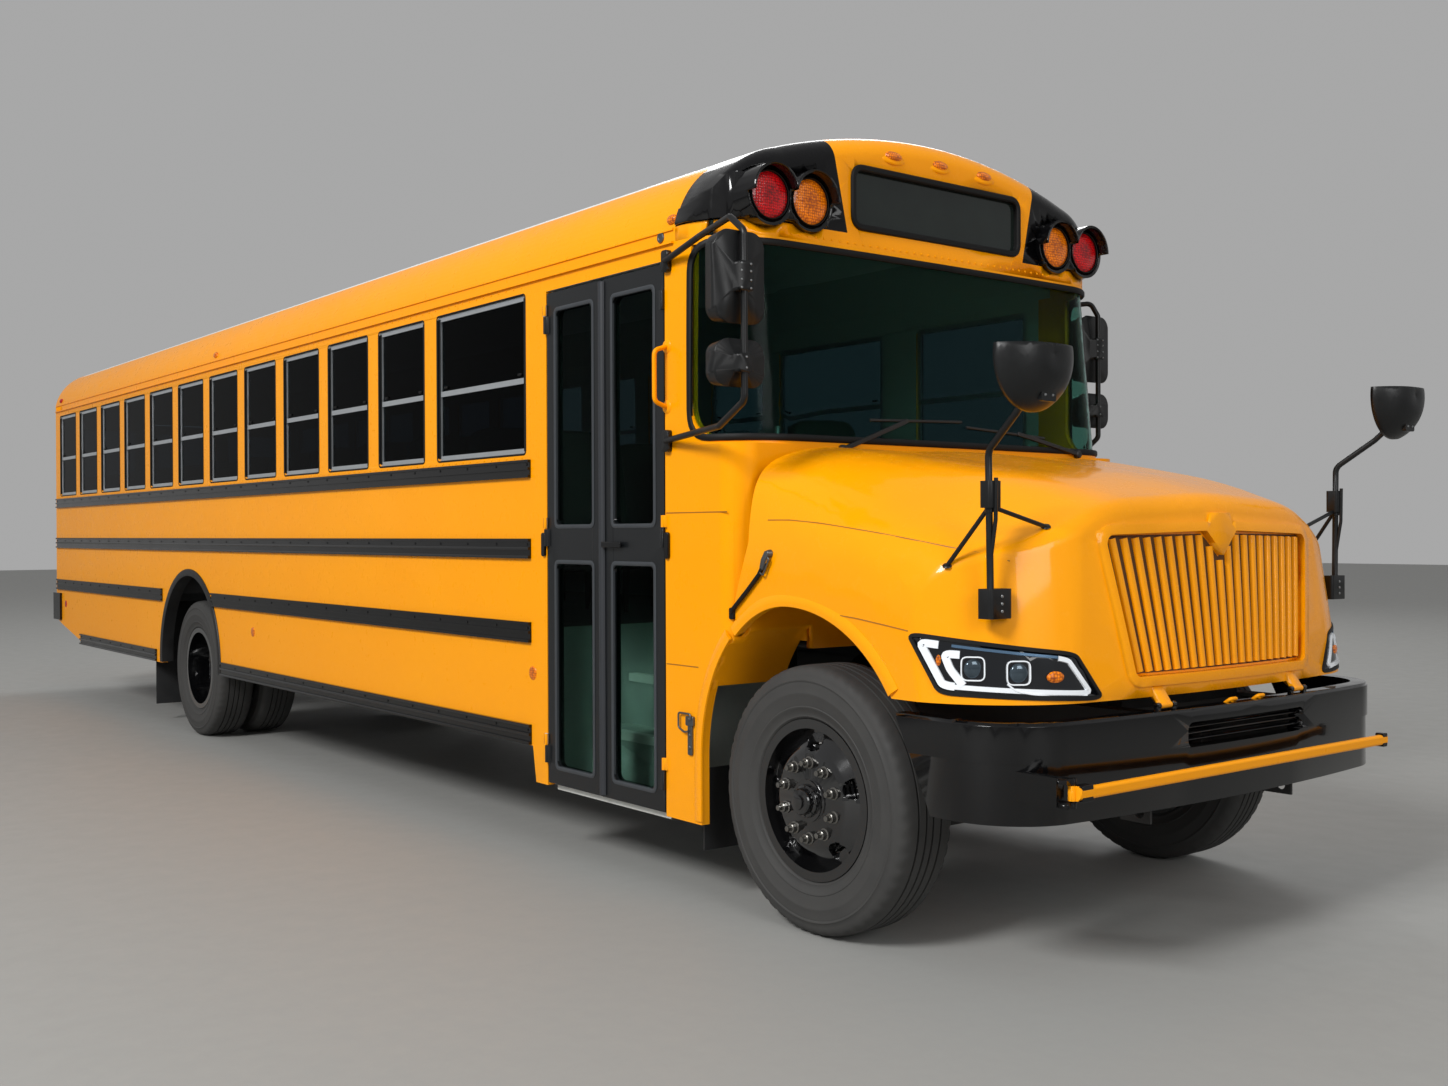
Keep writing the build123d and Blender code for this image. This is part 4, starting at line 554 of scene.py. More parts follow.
seams = []
hoops = [-1500 - bay * n for n in range(14)]
highest, inset = 3259.9, 0.9985  # keep the seams just inside the roof's top and width
for station in hoops:
    path = upright(roof_line(-1), x=station)
    path[:, 1] *= inset
    points, faces = carried(path, upright(roof_line(9), x=station) - path,
                            [(-19, -1), (19, -1), (19, 2.2), (-19, 2.2)])
    points[:, 2] = np.minimum(points[:, 2], highest)
    seams.append((points, faces))
new_piece("roof_seams", seams, roof_paint, "bus_body")

# Clearance lamps: small amber and red lenses on the roof's edges and the sides, each a moulded
# blister over one bulb. The three over the windshield sit on yellow bases.


def prism_lens(name, bright, deep):
    """Moulded lens: 11 mm cells with a darker border over a glowing middle, under a clear coat."""
    material, tree, shader, place = new_material(
        name, Coat_Weight=0.4, Coat_Roughness=0.03, Specular_IOR_Level=0.3, Emission_Strength=0.12)
    cells = add_node(tree, "ShaderNodeTexVoronoi", {"Scale": 90.0, "Randomness": 0.35},
                     {"Vector": place})
    spread = add_node(tree, "ShaderNodeMapRange", {"From Min": 0.15, "From Max": 0.75},
                      {"Value": cells.outputs["Distance"]})
    colour = add_node(tree, "ShaderNodeMix", {6: linear(bright), 7: linear(deep)},
                      {0: spread.outputs["Result"]}, data_type="RGBA")
    tree.links.new(colour.outputs[2], shader.inputs["Base Color"])
    rough = add_node(tree, "ShaderNodeMapRange", {"To Min": 0.12, "To Max": 0.35},
                     {"Value": cells.outputs["Distance"]})
    tree.links.new(rough.outputs["Result"], shader.inputs["Roughness"])
    bump = add_node(tree, "ShaderNodeBump", {"Strength": 0.9, "Distance": 0.003},
                    {"Height": cells.outputs["Distance"]})
    tree.links.new(bump.outputs["Normal"], shader.inputs["Normal"])
    tree.links.new(colour.outputs[2], shader.inputs["Emission Color"])
    return material


red_prisms = prism_lens("pressed_red_prisms", "#D80A12", "#5C0206")
amber_prisms = prism_lens("pressed_amber_prisms", "#FF8A00", "#8A3A00")


def blister(place, facing, along, half_long, half_wide, height, sides=20):
    """An oval dome: rings shrink as the cosine of their angle and rise as its sine."""
    facing, along = np.asarray(facing, float), np.asarray(along, float)
    facing = facing / np.linalg.norm(facing)
    along = along - (along @ facing) * facing
    along = along / np.linalg.norm(along)
    across = np.cross(facing, along)
    rise = np.linspace(0, np.pi / 2, 6)[:, None]
    turn = (np.arange(sides) * 2 * np.pi / sides)[None]
    long_part = (np.cos(rise) * np.cos(turn)).reshape(-1, 1) * along * half_long
    wide_part = (np.cos(rise) * np.sin(turn)).reshape(-1, 1) * across * half_wide
    up_part = np.broadcast_to(np.sin(rise) ** 0.7 * height, (6, sides)).reshape(-1, 1) * facing
    points = np.asarray(place, float) + long_part + wide_part + up_part
    return points, grid_faces(6, sides, False, True) + [list(range(sides))]


amber_marks, red_marks, mark_bases = [], [], []
brow = (0.9, 0, 0.43)  # the way that the cap faces over the windshield
for y in (-290, 0, 290):
    z = 3163 - abs(y) * 0.02
    mark_bases.append(blister((-468, y, z - 2), brow, (0, 1, 0), 82, 40, 12))
    amber_marks.append(blister((-461, y, z + 1), brow, (0, 1, 0), 52, 24, 16))
    red_marks.append(blister((rear_face, y, 3120 - abs(y) * 0.04), (-1, 0, 0), (0, 1, 0),
                             50, 22, 18))
for side in (-1, 1):
    for station, kind in ((-828, amber_marks), (-6480, amber_marks), (-10950, red_marks)):
        kind.append(blister((station, side * 1209, 2826), (0, side, 0.32), (1, 0, 0), 34, 22, 20))
    for station, z, kind in ((-1973, 850, amber_marks), (-5742, 851, amber_marks),
                             (-10800, 860, red_marks)):
        kind.append(blister((station, side * body_side, z), (0, side, 0), (1, 0, 0), 34, 34, 6))
    red_marks.append(blister((rear_face, side * 1060, 1010), (-1, 0, 0), (0, 1, 0), 38, 38, 6))
new_piece("amber_markers", amber_marks, amber_prisms, "bus_body", angle=60)
new_piece("red_markers", red_marks, red_prisms, "bus_body", angle=60)
new_piece("marker_bases", mark_bases, yellow_paint, "bus_body", angle=60)

# Front cap: one glass-fibre moulding over the windshield, yellow in the middle and gloss
# black round both corners, where the warning lamps sit in deep black housings.
gloss_black = enamel("gloss_black_enamel", "#050506", "#09090B", (0.1, 0.2), 0.0, 0.0003,
                     coat=0.4, level=0.25)[0]
cap_paint, tree, shader, axes, seen = enamel(
    "two_tone_cap_enamel", bus_yellow, deep_yellow, (0.18, 0.3), 0.0, 0.0003, coat=0.3)
sideways = add_node(tree, "ShaderNodeMath", links={0: axes.outputs["Y"]}, operation="ABSOLUTE")
slant = add_node(tree, "ShaderNodeMath", {1: -0.225, 2: 0.066}, {0: axes.outputs["Z"]},
                 operation="MULTIPLY_ADD")
beyond = add_node(tree, "ShaderNodeMath", links={0: sideways.outputs[0], 1: slant.outputs[0]},
                  operation="ADD")
corner = add_node(tree, "ShaderNodeMath", {1: 0.0}, {0: beyond.outputs[0]},
                  operation="GREATER_THAN")
above = add_node(tree, "ShaderNodeMath", {1: 2.792}, {0: axes.outputs["Z"]},
                 operation="GREATER_THAN")
masked = add_node(tree, "ShaderNodeMath", links={0: corner.outputs[0], 1: above.outputs[0]},
                  operation="MULTIPLY")
two_tone = add_node(tree, "ShaderNodeMix", {7: linear("#08080A")},
                    {0: masked.outputs[0], 6: seen.outputs[2]}, data_type="RGBA")
tree.links.new(two_tone.outputs[2], shader.inputs["Base Color"])
skin("front_cap", cap_paint, angle=45)
skin("lamp_housings", gloss_black, angle=45)


def bow(y):
    """How far the crowned front falls back at a width y: 27 mm at the corners, by its square."""
    return 27 * (y / body_side) ** 2


y = np.arange(-870, 871, 44.0)
header = [studs(np.stack([-453.5 - bow(y), y, np.full(len(y), z)], 1), (1, 0, 0), 6, 3)
          for z in (2712, 2752)]
new_piece("header_rivets", header, yellow_paint, "bus_body")

# Destination sign: a pane of dark glass in a black rubber frame, moulded in one piece and
# pressed into the cap over the windshield. It is left blank.
sign_glass = finish("dark_sign_glass", "#0E1413", "#1C2522", (0.08, 0.2), 30, 0.05,
                    Coat_Weight=0.3, Specular_IOR_Level=0.3)
opening = rounded(rectangle(1060, 255, (0, 2951.5)), 55, steps=9)
frame_path = upright(opening, x=-452)
frame_path[:, 0] -= bow(frame_path[:, 1])
rim = [(-14, -30), (14, -30), (14, 4), (8, 9), (-8, 9), (-14, 4)]
new_piece("sign_frame", [carried(frame_path, (1, 0, 0), rim, closed=True)], rubber, "bus_body")
sign_pane = rounded(rectangle(1050, 246, (0, 2951.5)), 50)
new_piece("sign_pane", [plate(sign_pane, (-476, 0, 0), 4, (0, 1, 0))], sign_glass, "bus_body")

# Warning lamps: eight sealed beams, 200 mm across, red outside and amber inside, with
# pressed prisms behind a smooth outer face.


def turned(profile, centre, axis, sides=48):
    """A profile of radius and height along the axis, turned full circle about the centre."""
    profile = np.asarray(profile, float)
    axis = np.asarray(axis, float)
    first = np.cross(axis, (0.1, 0.2, 0.97))
    first /= np.linalg.norm(first)
    second = np.cross(axis, first)
    turn = (np.arange(sides) * 2 * np.pi / sides)[None, :, None]
    radial = first * np.cos(turn) + second * np.sin(turn)
    points = (np.asarray(centre, float) + profile[:, None, :1] * radial
              + profile[:, None, 1:] * axis).reshape(-1, 3)
    faces = grid_faces(len(profile), sides, False, True)
    last = (len(profile) - 1) * sides
    if profile[0, 0] > 0:
        faces.append(list(range(sides)))
    if profile[-1, 0] > 0:
        faces.append(list(range(last, last + sides)))
    return points, faces


dome = [(0, 14), (25, 13.4), (50, 11.2), (72, 7.6), (88, 3), (96, -2), (97, -30), (60, -34),
        (0, -34)]
bezel_ring = [(96, -4), (99.5, -4), (99.5, 3), (97.5, 5), (95, 3), (96, -4)]
beam_z, rims = 2889, []
for name, y, material in (("red_beams", 1004, red_prisms), ("amber_beams", 786, amber_prisms)):
    lenses = []
    for side in (-1, 1):
        lenses.append(turned(dome, (-446, side * y, beam_z), (1, 0, 0)))
        lenses.append(turned(dome, (rear_face - 18, side * y, beam_z), (-1, 0, 0)))
        rims.append(turned(bezel_ring, (-442, side * y, beam_z), (1, 0, 0)))
        rims.append(turned(bezel_ring, (rear_face - 22, side * y, beam_z), (-1, 0, 0)))
    piece = new_piece(name, lenses, material, "bus_body", angle=50)
    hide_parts("warning_lamps")
new_piece("beam_gaskets", rims, rubber, "bus_body")

# Windshield: one bonded pane of laminated glass wrapped round the cab front, green in tint,
# held in a wide black rubber seal.
skin("windshield_glass", clear_glass, angle=45)


def cab_face(u, z, proud=0):
    """Point on the cab front, which leans back by 81 mm in 851 mm of height: u runs round it from
    the right rear edge of the glass, on a 300 mm corner, across the crowned front, and on the
    left corner."""
    corner, flat = 300, body_side - 300  # its radius, and the half width of the front between
    front = -373 - 81 * (z - 1880) / 851
    corner_x, rear_edge = front - 315.3, -700
    start = np.arcsin(np.clip((rear_edge - corner_x) / corner, -1, 1))
    corner_run = corner * (np.pi / 2 - start)
    whole = 2 * (corner_run + flat)
    near = np.minimum(u, whole - u)
    side = np.where(u < whole / 2, -1.0, 1.0)
    turn = np.minimum(start + near / corner, np.pi / 2)
    y = flat + (corner + proud) * np.cos(turn) - np.maximum(near - corner_run, 0)
    x = (corner_x + (corner + proud) * np.sin(turn)
         + bow(flat) - bow(np.minimum(np.abs(y), flat)))
    return np.stack([x, side * y, z], -1)


def resampled(line, step, closed=True):
    """Points at even distances along a line, a step apart."""
    if closed:
        line = np.concatenate([line, line[:1]])
    length = np.concatenate([[0], np.cumsum(np.linalg.norm(np.diff(line, axis=0), axis=1))])
    count = max(int(length[-1] / step), 2)
    where = np.linspace(0, length[-1], count + (not closed), endpoint=not closed)
    return np.stack([np.interp(where, length, line[:, i]) for i in range(line.shape[1])], 1)


seal_parts = []
seal_outline = [(-14, -6), (14, -6), (14, 5), (8, 9), (-8, 9), (-14, 5)]
# The right half of the glass edge in u and z, from the middle round the rear edge and back. The
# left half is its mirror image, because the front is longer at the sill than at the header.
half_edge = [(1400, 1906), (-6, 1906), (-6, 2706), (1400, 2706)]
half = resampled(rounded(half_edge, 120, closed=False, steps=12), 30, closed=False)
points = cab_face(half[:, 0], half[:, 1])
around = cab_face(half[:, 0], half[:, 1], 30) - cab_face(half[:, 0], half[:, 1], -30)
around[np.linalg.norm(around, axis=1) < 1] = (1, 0, 0)
for mirrored in (1, -1):
    seal_parts.append(carried(points * (1, mirrored, 1), around * (1, mirrored, 1), seal_outline))
new_piece("windshield_seal", seal_parts, rubber, "bus_body", angle=50)

# Wipers: two arms of pressed steel, powder-coated black, turning on spindles in the cowl and
# carrying long rubber blades on the glass.
wiper_black = finish("powder_coated_wiper", "#101112", "#1C1C1D", (0.4, 0.55), 3, 0.2)
wipers = []
arm_outline = [(-11, -4), (11, -4), (8, 5), (-8, 5)]
for pivot, tip, blade_start, blade_end in (
        ((-371, -672, 1866), (-384, -283, 2002), (-386, -500, 1996), (-384, 60, 2012)),
        ((-371, 863, 1892), (-386, 440, 1975), (-386, 640, 1962), (-384, 90, 1990))):
    arm = np.linspace(pivot, tip, 7)
    arm[1:-1, 0] += 5
    wipers.append(carried(arm, (1, 0, 0), arm_outline))
    blade = np.linspace(blade_start, blade_end, 9)
    blade[:, 0] -= bow(blade[:, 1])
    wipers.append(carried(blade, (1, 0, 0), [(-7, -6), (7, -6), (4, 4), (-4, 4)]))
    wipers.append(turned([(0, 12), (14, 11), (19, 5), (20, -14), (0, -14)], pivot, (1, 0, 0), 20))
new_piece("wipers", wipers, wiper_black, "bus_body", round_edges=1)

# Entry door: two outward-folding leaves of aluminium bar, sprayed charcoal, with tall panes
# in rubber glazing beads and a wide soft seal where the leaves meet.
door_paint = finish("charcoal_door_enamel", "#111315", "#191B1D", (0.3, 0.42), 5, 0.06,
                    Coat_Weight=0.15, Specular_IOR_Level=0.3)
seal_grey = finish("soft_door_seal", "#2E3136", "#212327", (0.4, 0.55), 5, 0.2)
bead_grey = finish("glazing_bead_rubber", "#3E4246", "#2D3034", (0.35, 0.5), 5, 0.1)
door_glass = tinted("green_door_glass", "#8CA39A", "#C4D2CE", 1.07)
bead_outline = [(-10, -8), (10, -8), (9, 2), (0, 6), (-9, 2)]
for name, centre in (("front", -1118.25), ("rear", -1596.75)):
    body = "door_leaf_" + name
    skin(body, door_paint)
    skin("door_glass_" + name, door_glass)
    beads = []
    for low, high in ((430, 1380), (1560, 2560)):
        opening = rounded(rectangle(326.5, high - low + 16, (centre, (low + high) / 2)), 26)
        beads.append(carried(upright(opening, y=-body_side), (0, -1, 0), bead_outline,
                             closed=True))
    new_piece("glazing_beads_" + name, beads, bead_grey, body, angle=50)
seal_path = [(door_centre, -body_side - 2, 352), (door_centre, -body_side - 2, 2640)]
nose = np.array([(-29, 0), (29, 0), (24, 9), (9, 14), (-9, 14), (-24, 9)]) * (0.72, 1)
new_piece("door_nose_seal", [carried(seal_path, (0, -1, 0), nose)], seal_grey,
          "door_leaf_front", angle=60)
on_wall = (0, -body_side, 0)
handle = [plate(rectangle(150, 26, (-1262, 1470)), (0, -1232, 0), 11),
          plate(rectangle(24, 24, (-1322, 1470)), on_wall, 14)]
new_piece("door_handle", handle, satin_black, "door_leaf_front", round_edges=3)
covers = [plate(rounded(rectangle(30, 112, (x, 1468)), 14), on_wall, 14) for x in (-858, -1857)]
new_piece("hinge_covers", covers, satin_black, "bus_body", round_edges=3)

# Grab handle beside the door: a bent steel tube sprayed yellow with the body, on two
# flanges screwed to the windshield pillar.
grab = rounded([(-862, -1222, 2048), (-862, -1284, 2068), (-862, -1284, 2281),
                (-862, -1222, 2301)], 22, closed=False, steps=7)
grab_parts = [carried(grab, (1, 0, 0), ring(10))]
for z in (2048, 2301):
    grab_parts.append(turned([(0, 6), (26, 5), (30, 0), (0, 0)], (-862, -body_side, z),
                             (0, -1, 0), 20))
new_piece("grab_handle", grab_parts, yellow_paint, "bus_body", angle=50)

# Latches: a spring latch of plated steel, riveted low on the cowl, a round plated cover over the
# door, and on each side a rubber strap with a steel hook that holds the hood's rear edge.
hinge_steel = finish("zinc_plated_hinge", "#77797B", "#515252", (0.35, 0.5), 4, 0.1, Metallic=0.9)
latch_plates = [plate(rounded(rectangle(52, 40, (-700, 748)), 8), on_wall, 12),
                plate(rounded(rectangle(30, 120, (-700, 668)), 8), on_wall, 9)]
bail = rounded([(-690, -1232, 752), (-690, -1232, 778), (-772, -1232, 778), (-772, -1232, 716),
                (-730, -1232, 700), (-706, -1232, 706)], 12, closed=False)
latch_plates.append(carried(bail, (0, 1, 0), ring(4.5, 8)))
latch_plates.append(studs([(-700, -1231, 756), (-700, -1228, 690), (-700, -1228, 640)],
                          (0, -1, 0), 9, 6))
latch_plates.append(turned([(0, 5), (12, 5), (14, 8), (22, 7), (24, 0), (0, 0)],
                           (-902, -1218, 2762), (0, -1, 0), 20))
new_piece("lower_latch", latch_plates, hinge_steel, "bus_body", round_edges=1)
strap_path = [(-452, -1206, 1196), (-430, -1214, 1218), (-399, -1215, 1243), (-334, -1216, 1296),
              (-262, -1219, 1357), (-226, -1220, 1405)]
strap_parts = [carried(strap_path, (0, -1, 0), [(-9, -5), (9, -5), (7, 5), (-7, 5)]),
               plate(rounded(rectangle(28, 46, (-444, 1200)), 9), (0, -1200, 0), 12)]
buckle_parts = [turned([(0, 17), (10, 15), (14, 8), (16, -6), (0, -6)],
                       (-208, -1210, 1440), (0, -1, 0), 18),
                carried([(-238, -1224, 1382), (-222, -1230, 1412), (-206, -1224, 1446)],
                        (0, -1, 0), [(-13, -4), (13, -4), (10, 4), (-10, 4)]),
                carried(rounded([(-250, -1222, 1366), (-232, -1222, 1356), (-196, -1222, 1420),
                                 (-214, -1222, 1430)], 8, closed=False), (0, -1, 0), ring(4, 8))]
for mirrored, name in ((1, "right"), (-1, "left")):
    for kind, parts, material in (("strap", strap_parts, rubber),
                                  ("buckle", buckle_parts, hinge_steel)):
        placed = [(points * (1, mirrored, 1), faces) for points, faces in parts]
        new_piece("hood_" + kind + "_" + name, placed, material, "hood", round_edges=1)

# Hood: one glass-fibre moulding of engine cover and fenders that tilts forward. Yellow
# enamel over gelcoat, with a raised lip round the wheel opening and shallow joint lines.
hood_paint = enamel("yellow_gelcoat_enamel", bus_yellow, deep_yellow, (0.2, 0.3), 0.06,
                    0.0003, coat=0.35)[0]
skin("hood", hood_paint, angle=38)
skin("grille", hood_paint, angle=38)


def arch_line(start, end, count, grow):
    """X and Z round the wheel opening: two quarter ellipses about one centre, the front one
    longer, for angles from start to end."""
    centre_x, centre_z, front_reach, rear_reach, rise = -115, 600, 657, 517, 642
    turn = np.radians(np.linspace(start, end, count))
    reach = np.where(np.cos(turn) > 0, front_reach, rear_reach) + grow
    return np.stack([centre_x + reach * np.cos(turn), centre_z + (rise + grow) * np.sin(turn)], 1)


def fender_face(x):
    """Half width of the hood's side: straight to station 470, then an arc in to the lamp."""
    return 1201.0 - np.maximum(x - 470, 0) ** 2 * 0.0011


lip_outline = np.array([(-26, -4), (20, -4), (26, 1), (24, 8), (8, 11), (-14, 7), (-26, 2)])
front_lip = arch_line(33, 127, 60, 22)
rear_lip = arch_line(129, 180, 30, 22)
rear_lip = np.concatenate([rear_lip, [(rear_lip[-1, 0], 470), (rear_lip[-1, 0], 345)]])
for name, line, half_width, body in (
        ("fender_lip", front_lip, fender_face(front_lip[:, 0]), "hood"),
        ("cowl_arch_lip", rear_lip, np.full(len(rear_lip), body_side - 2), "bus_body")):
    lips = []
    for side in (-1, 1):
        path = np.stack([line[:, 0], side * half_width, line[:, 1]], 1)
        lips.append(carried(path, (0, side, 0), lip_outline * (side, 1)))
    new_piece(name, lips, hood_paint, body, angle=60)


def grille_face(y, z, proud):
    """X of the grille's front: bowed by the square of Y and leaning back by 80 mm a metre."""
    a, b = (y / 100) ** 2, (z - 1262) / 100
    return 958.23 - 8.0 * b - 0.956 * a - 0.0452 * a * b + proud


# The shade in the grille's gaps is painted: a dark brown sheet, 1.6 mm in front of the grille's
# face and behind the slats, stands where only shade falls.
grille_shade = finish("shaded_grille_back", "#5A3600", "#3A2200", (0.6, 0.75), 6, 0.2)
slat_gap, slat_outline = 54.3, [(-16, 0), (16, 0), (14.5, 10), (9, 14), (-9, 14), (-14.5, 10)]
sill_z, flare = 1012, 0.2016  # foot of the grille, and how much wider a side it gets upwards
shield_edge, shield_z, shield_slope = 92, 1424, 0.95  # the plain shield on the nose cuts in
slats, back = [], []
for n in range(-10, 11):
    across = abs(n) * slat_gap
    high = 1520 - across * 0.026 if across > 95 else shield_z + across * shield_slope
    z = np.linspace(1028, high - 12, 14)
    y = n * slat_gap * (540 + (z - sill_z) * flare) / 590
    path = np.stack([grille_face(y, z, 1), y, z], 1)
    lift = np.stack([np.ones(14), 1.912e-4 * y, np.full(14, 0.08)], 1)
    slats.append(carried(path, lift, slat_outline))
for side in (-1, 1):
    t, s = np.meshgrid(np.linspace(0, 1, 12), np.linspace(0, 1, 20))
    z = 1022 + 490 * t
    y = side * s * (532 + (z - sill_z) * flare)
    z = np.where(np.abs(y) < shield_edge, np.minimum(z, shield_z + np.abs(y) * shield_slope),
                 z - np.abs(y) * 0.012 * t)
    points = np.stack([grille_face(y, z, 1.6), y, z], -1).reshape(-1, 3)
    back.append((points, grid_faces(20, 12)))
new_piece("grille_slats", slats, hood_paint, "hood", angle=50)
new_piece("grille_shade", back, grille_shade, "hood", angle=60)
# The joint lines are thin strips of a darker yellow that paint the shade in their shallow grooves.
joint_dark = finish("shadowed_joint", "#B06C00", "#8E5600", (0.5, 0.6), 5, 0.05)
joints = []
upper_joint = [(-239, -1191, 1569), (-116, -1185, 1568), (46, -1177, 1555), (198, -1168, 1536),
               (337, -1152, 1517), (464, -1130, 1496), (580, -1101, 1475), (634, -1085, 1465),
               (717, -1050, 1448), (792, -984, 1421)]
lower_joint = [(65, -1205, 1227), (262, -1204, 1213), (412, -1202, 1195), (523, -1200, 1180)]
for line in (upper_joint, lower_joint):
    for side in (1, -1):
        path = resampled(np.array(line, float), 30, closed=False) * (1, side, 1)
        joints.append(carried(path, (0, -side, 0.3), [(-2, -3), (2, -3), (2, 0.8), (-2, 0.8)]))
new_piece("hood_joints", joints, joint_dark, "hood")
cowl_joints = []
for z, front in ((1604, -460), (972, -650)):
    for side in (-1, 1):
        path = [(-872, side * body_side, z), (front, side * body_side, z)]
        cowl_joints.append(carried(path, (0, side, 0),
                                   [(-2.5, -2), (2.5, -2), (2.5, 0.8), (-2.5, 0.8)]))
new_piece("cowl_joints", cowl_joints, joint_dark, "bus_body")

# Headlamps: one long unit a side, moulded in glossy black plastic, with a white light pipe round
# it, a pale blue strip along its top that is a painted highlight on the lens edge, two square
# rings round glass projectors, and amber turn lamps.
bezel_black = finish("headlamp_bezel_black", "#06080C", "#0C1016", (0.08, 0.16), 8, 0.05,
                     Coat_Weight=0.6, Specular_IOR_Level=0.3)
pipe_white = finish("white_light_pipe", "#F4F7FA", "#E2E8EE", (0.12, 0.25), 4, 0.1,
                    Coat_Weight=0.6)
projector = finish("projector_glass", "#2C363E", "#5C6A74", (0.04, 0.12), 9, 0.3, Metallic=0.6)
skin("headlamps", bezel_black, angle=40)
# The lamp's top and bottom, each from its outer to its inner end, across the nose and up.
lamp_corners = np.array([[(478, 1172), (-82, 1106)], [(375, 976), (-178, 952)]], float)


def nose_face(across, height, side):
    """Point on the nose by millimetres across its 45 degree corner and up: a fitted
    polynomial gives how far the curved face stands forward there."""
    a, b = across / 100, (height - 1060) / 100
    forward = (1273.41 + 38.918 * a - 12.327 * a ** 2 + 1.012 * a ** 3 - 0.113 * a ** 4
               - 14.543 * b + 1.273 * a * b + 0.05 * b ** 2)
    x, y = (forward - across) / 2 ** 0.5, side * (forward + across) / 2 ** 0.5
    return np.stack([x, y, height], 1)


def lamp_face(s, t, side):
    """Point on the lamp: s from its outer to its inner end and t from top to bottom blend its
    four corners on the nose."""
    top = lamp_corners[0, 0] * (1 - s)[:, None] + lamp_corners[0, 1] * s[:, None]
    low = lamp_corners[1, 0] * (1 - s)[:, None] + lamp_corners[1, 1] * s[:, None]
    flat = top * (1 - t)[:, None] + low * t[:, None]
    return nose_face(flat[:, 0], flat[:, 1], side)


def lamp_strip(line, width, lift, side, closed, face=lamp_face):
    """A strip on the lamp's face, crowned across its width: a light pipe, a ring, or the painted
    highlight along the lens's top edge.
    """
    line = np.asarray(line, float)
    here = face(line[:, 0], line[:, 1], side)
    first = face(line[:, 0] + 0.01, line[:, 1], side) - here
    second = face(line[:, 0], line[:, 1] + 0.01, side) - here
    normal = np.cross(first, second)
    normal *= np.sign(normal[:, :1])
    edge, top = width / 2, lift + 2
    outline = [(-edge, -5), (edge, -5), (edge - 2, top), (2 - edge, top)]
    return carried(here, normal, outline, closed)


pipes, highlight_strips, lens_parts, turn_parts, lamp_seals = [], [], [], [], []
outer_pipe, lower_pipe, crescent = (
    rounded(corners, radius, closed=False, steps=5) for corners, radius in (
        ([(0.16, 0.13), (0.05, 0.13), (0.05, 0.86), (0.12, 0.87)], 0.05),
        ([(0.08, 0.875), (0.94, 0.875), (0.925, 0.15), (0.87, 0.14)], 0.06),
        ([(0.26, 0.27), (0.165, 0.28), (0.15, 0.56), (0.175, 0.84)], 0.06)))
# The line of the painted highlight along the lens's top edge.
top_highlight_line = np.array([(0.24, 0.115), (0.87, 0.115)])
for side in (-1, 1):
    for line, width, lift in ((outer_pipe, 30, 5), (lower_pipe, 20, 5), (crescent, 30, 6)):
        pipes.append(lamp_strip(resampled(line, 0.02, closed=False), width, lift, side, False))
    for across, height in ((262, 1059), (112, 1046)):
        square = rounded(rectangle(76, 78, (across, height)), 20, steps=5)
        pipes.append(lamp_strip(square, 8, 6, side, True, nose_face))
        centre = nose_face(np.array([across]), np.array([height]), side)[0]
        lens_parts.append(blister(centre, (0.85, side * 0.5, 0), (-0.5, side * 0.85, 0),
                                  32, 33, 12, 24))
    sweep = rounded([(150, 1010), (120, 985), (60, 974), (-120, 966)], 20, closed=False)
    pipes.append(lamp_strip(sweep, 9, 7, side, False, nose_face))
    # A pale blue strip here paints the highlight on the lens's top edge.
    highlight_strips.append(lamp_strip(resampled(top_highlight_line, 0.02, closed=False), 13, 2, side, False))
    centre = lamp_face(np.array([0.78]), np.array([0.55]), side)[0]
    turn_parts.append(blister(centre, (0.95, side * 0.3, 0), (-0.3, side * 0.95, 0), 34, 20, 9))
    centre = lamp_face(np.array([0.105]), np.array([0.42]), side)[0]
    turn_parts.append(blister(centre, (0.7, side * 0.7, 0), (-0.7, side * 0.7, 0), 9, 19, 6))
    border = rounded([(0, 0), (1, 0), (1, 1), (0, 1)], 0.09, steps=5)
    lamp_seals.append(lamp_strip(resampled(border, 0.03), 17, 3, side, True))
new_piece("light_pipes", pipes, pipe_white, "hood", angle=50)
# Pale blue metallic finish of the strip that paints the highlight on the lens edge.
highlight_blue_paint = finish("painted_blue_lens_highlight", "#6F8DAA", "#4C6884", (0.12, 0.25), 6, 0.2,
                    Metallic=0.6)
new_piece("painted_lens_edge_highlights", highlight_strips, highlight_blue_paint, "hood", angle=50)
new_piece("projectors", lens_parts, projector, "hood", angle=60)
new_piece("turn_lamps", turn_parts, amber_prisms, "hood", angle=60)
new_piece("headlamp_seals", lamp_seals, rubber, "hood", angle=50)

# Bumpers: pressed steel channels, the front one in gloss black with a stepped upper ledge, a
# slotted middle and two yellow tow eyes above it, the rear one in satin black.
skin("front_bumper", gloss_black, angle=38)
skin("rear_bumper", satin_black)
hooks = []
for y in (-30, 150):
    bend = rounded([(1002, y - 20, 886), (1030, y - 20, 906), (1030, y + 20, 906),
                    (1002, y + 20, 886)], 9, closed=False)
    hooks.append(carried(bend, (0, 0, 1), ring(7, 8)))
new_piece("tow_eyes", hooks, yellow_paint, "bus_body", angle=50)

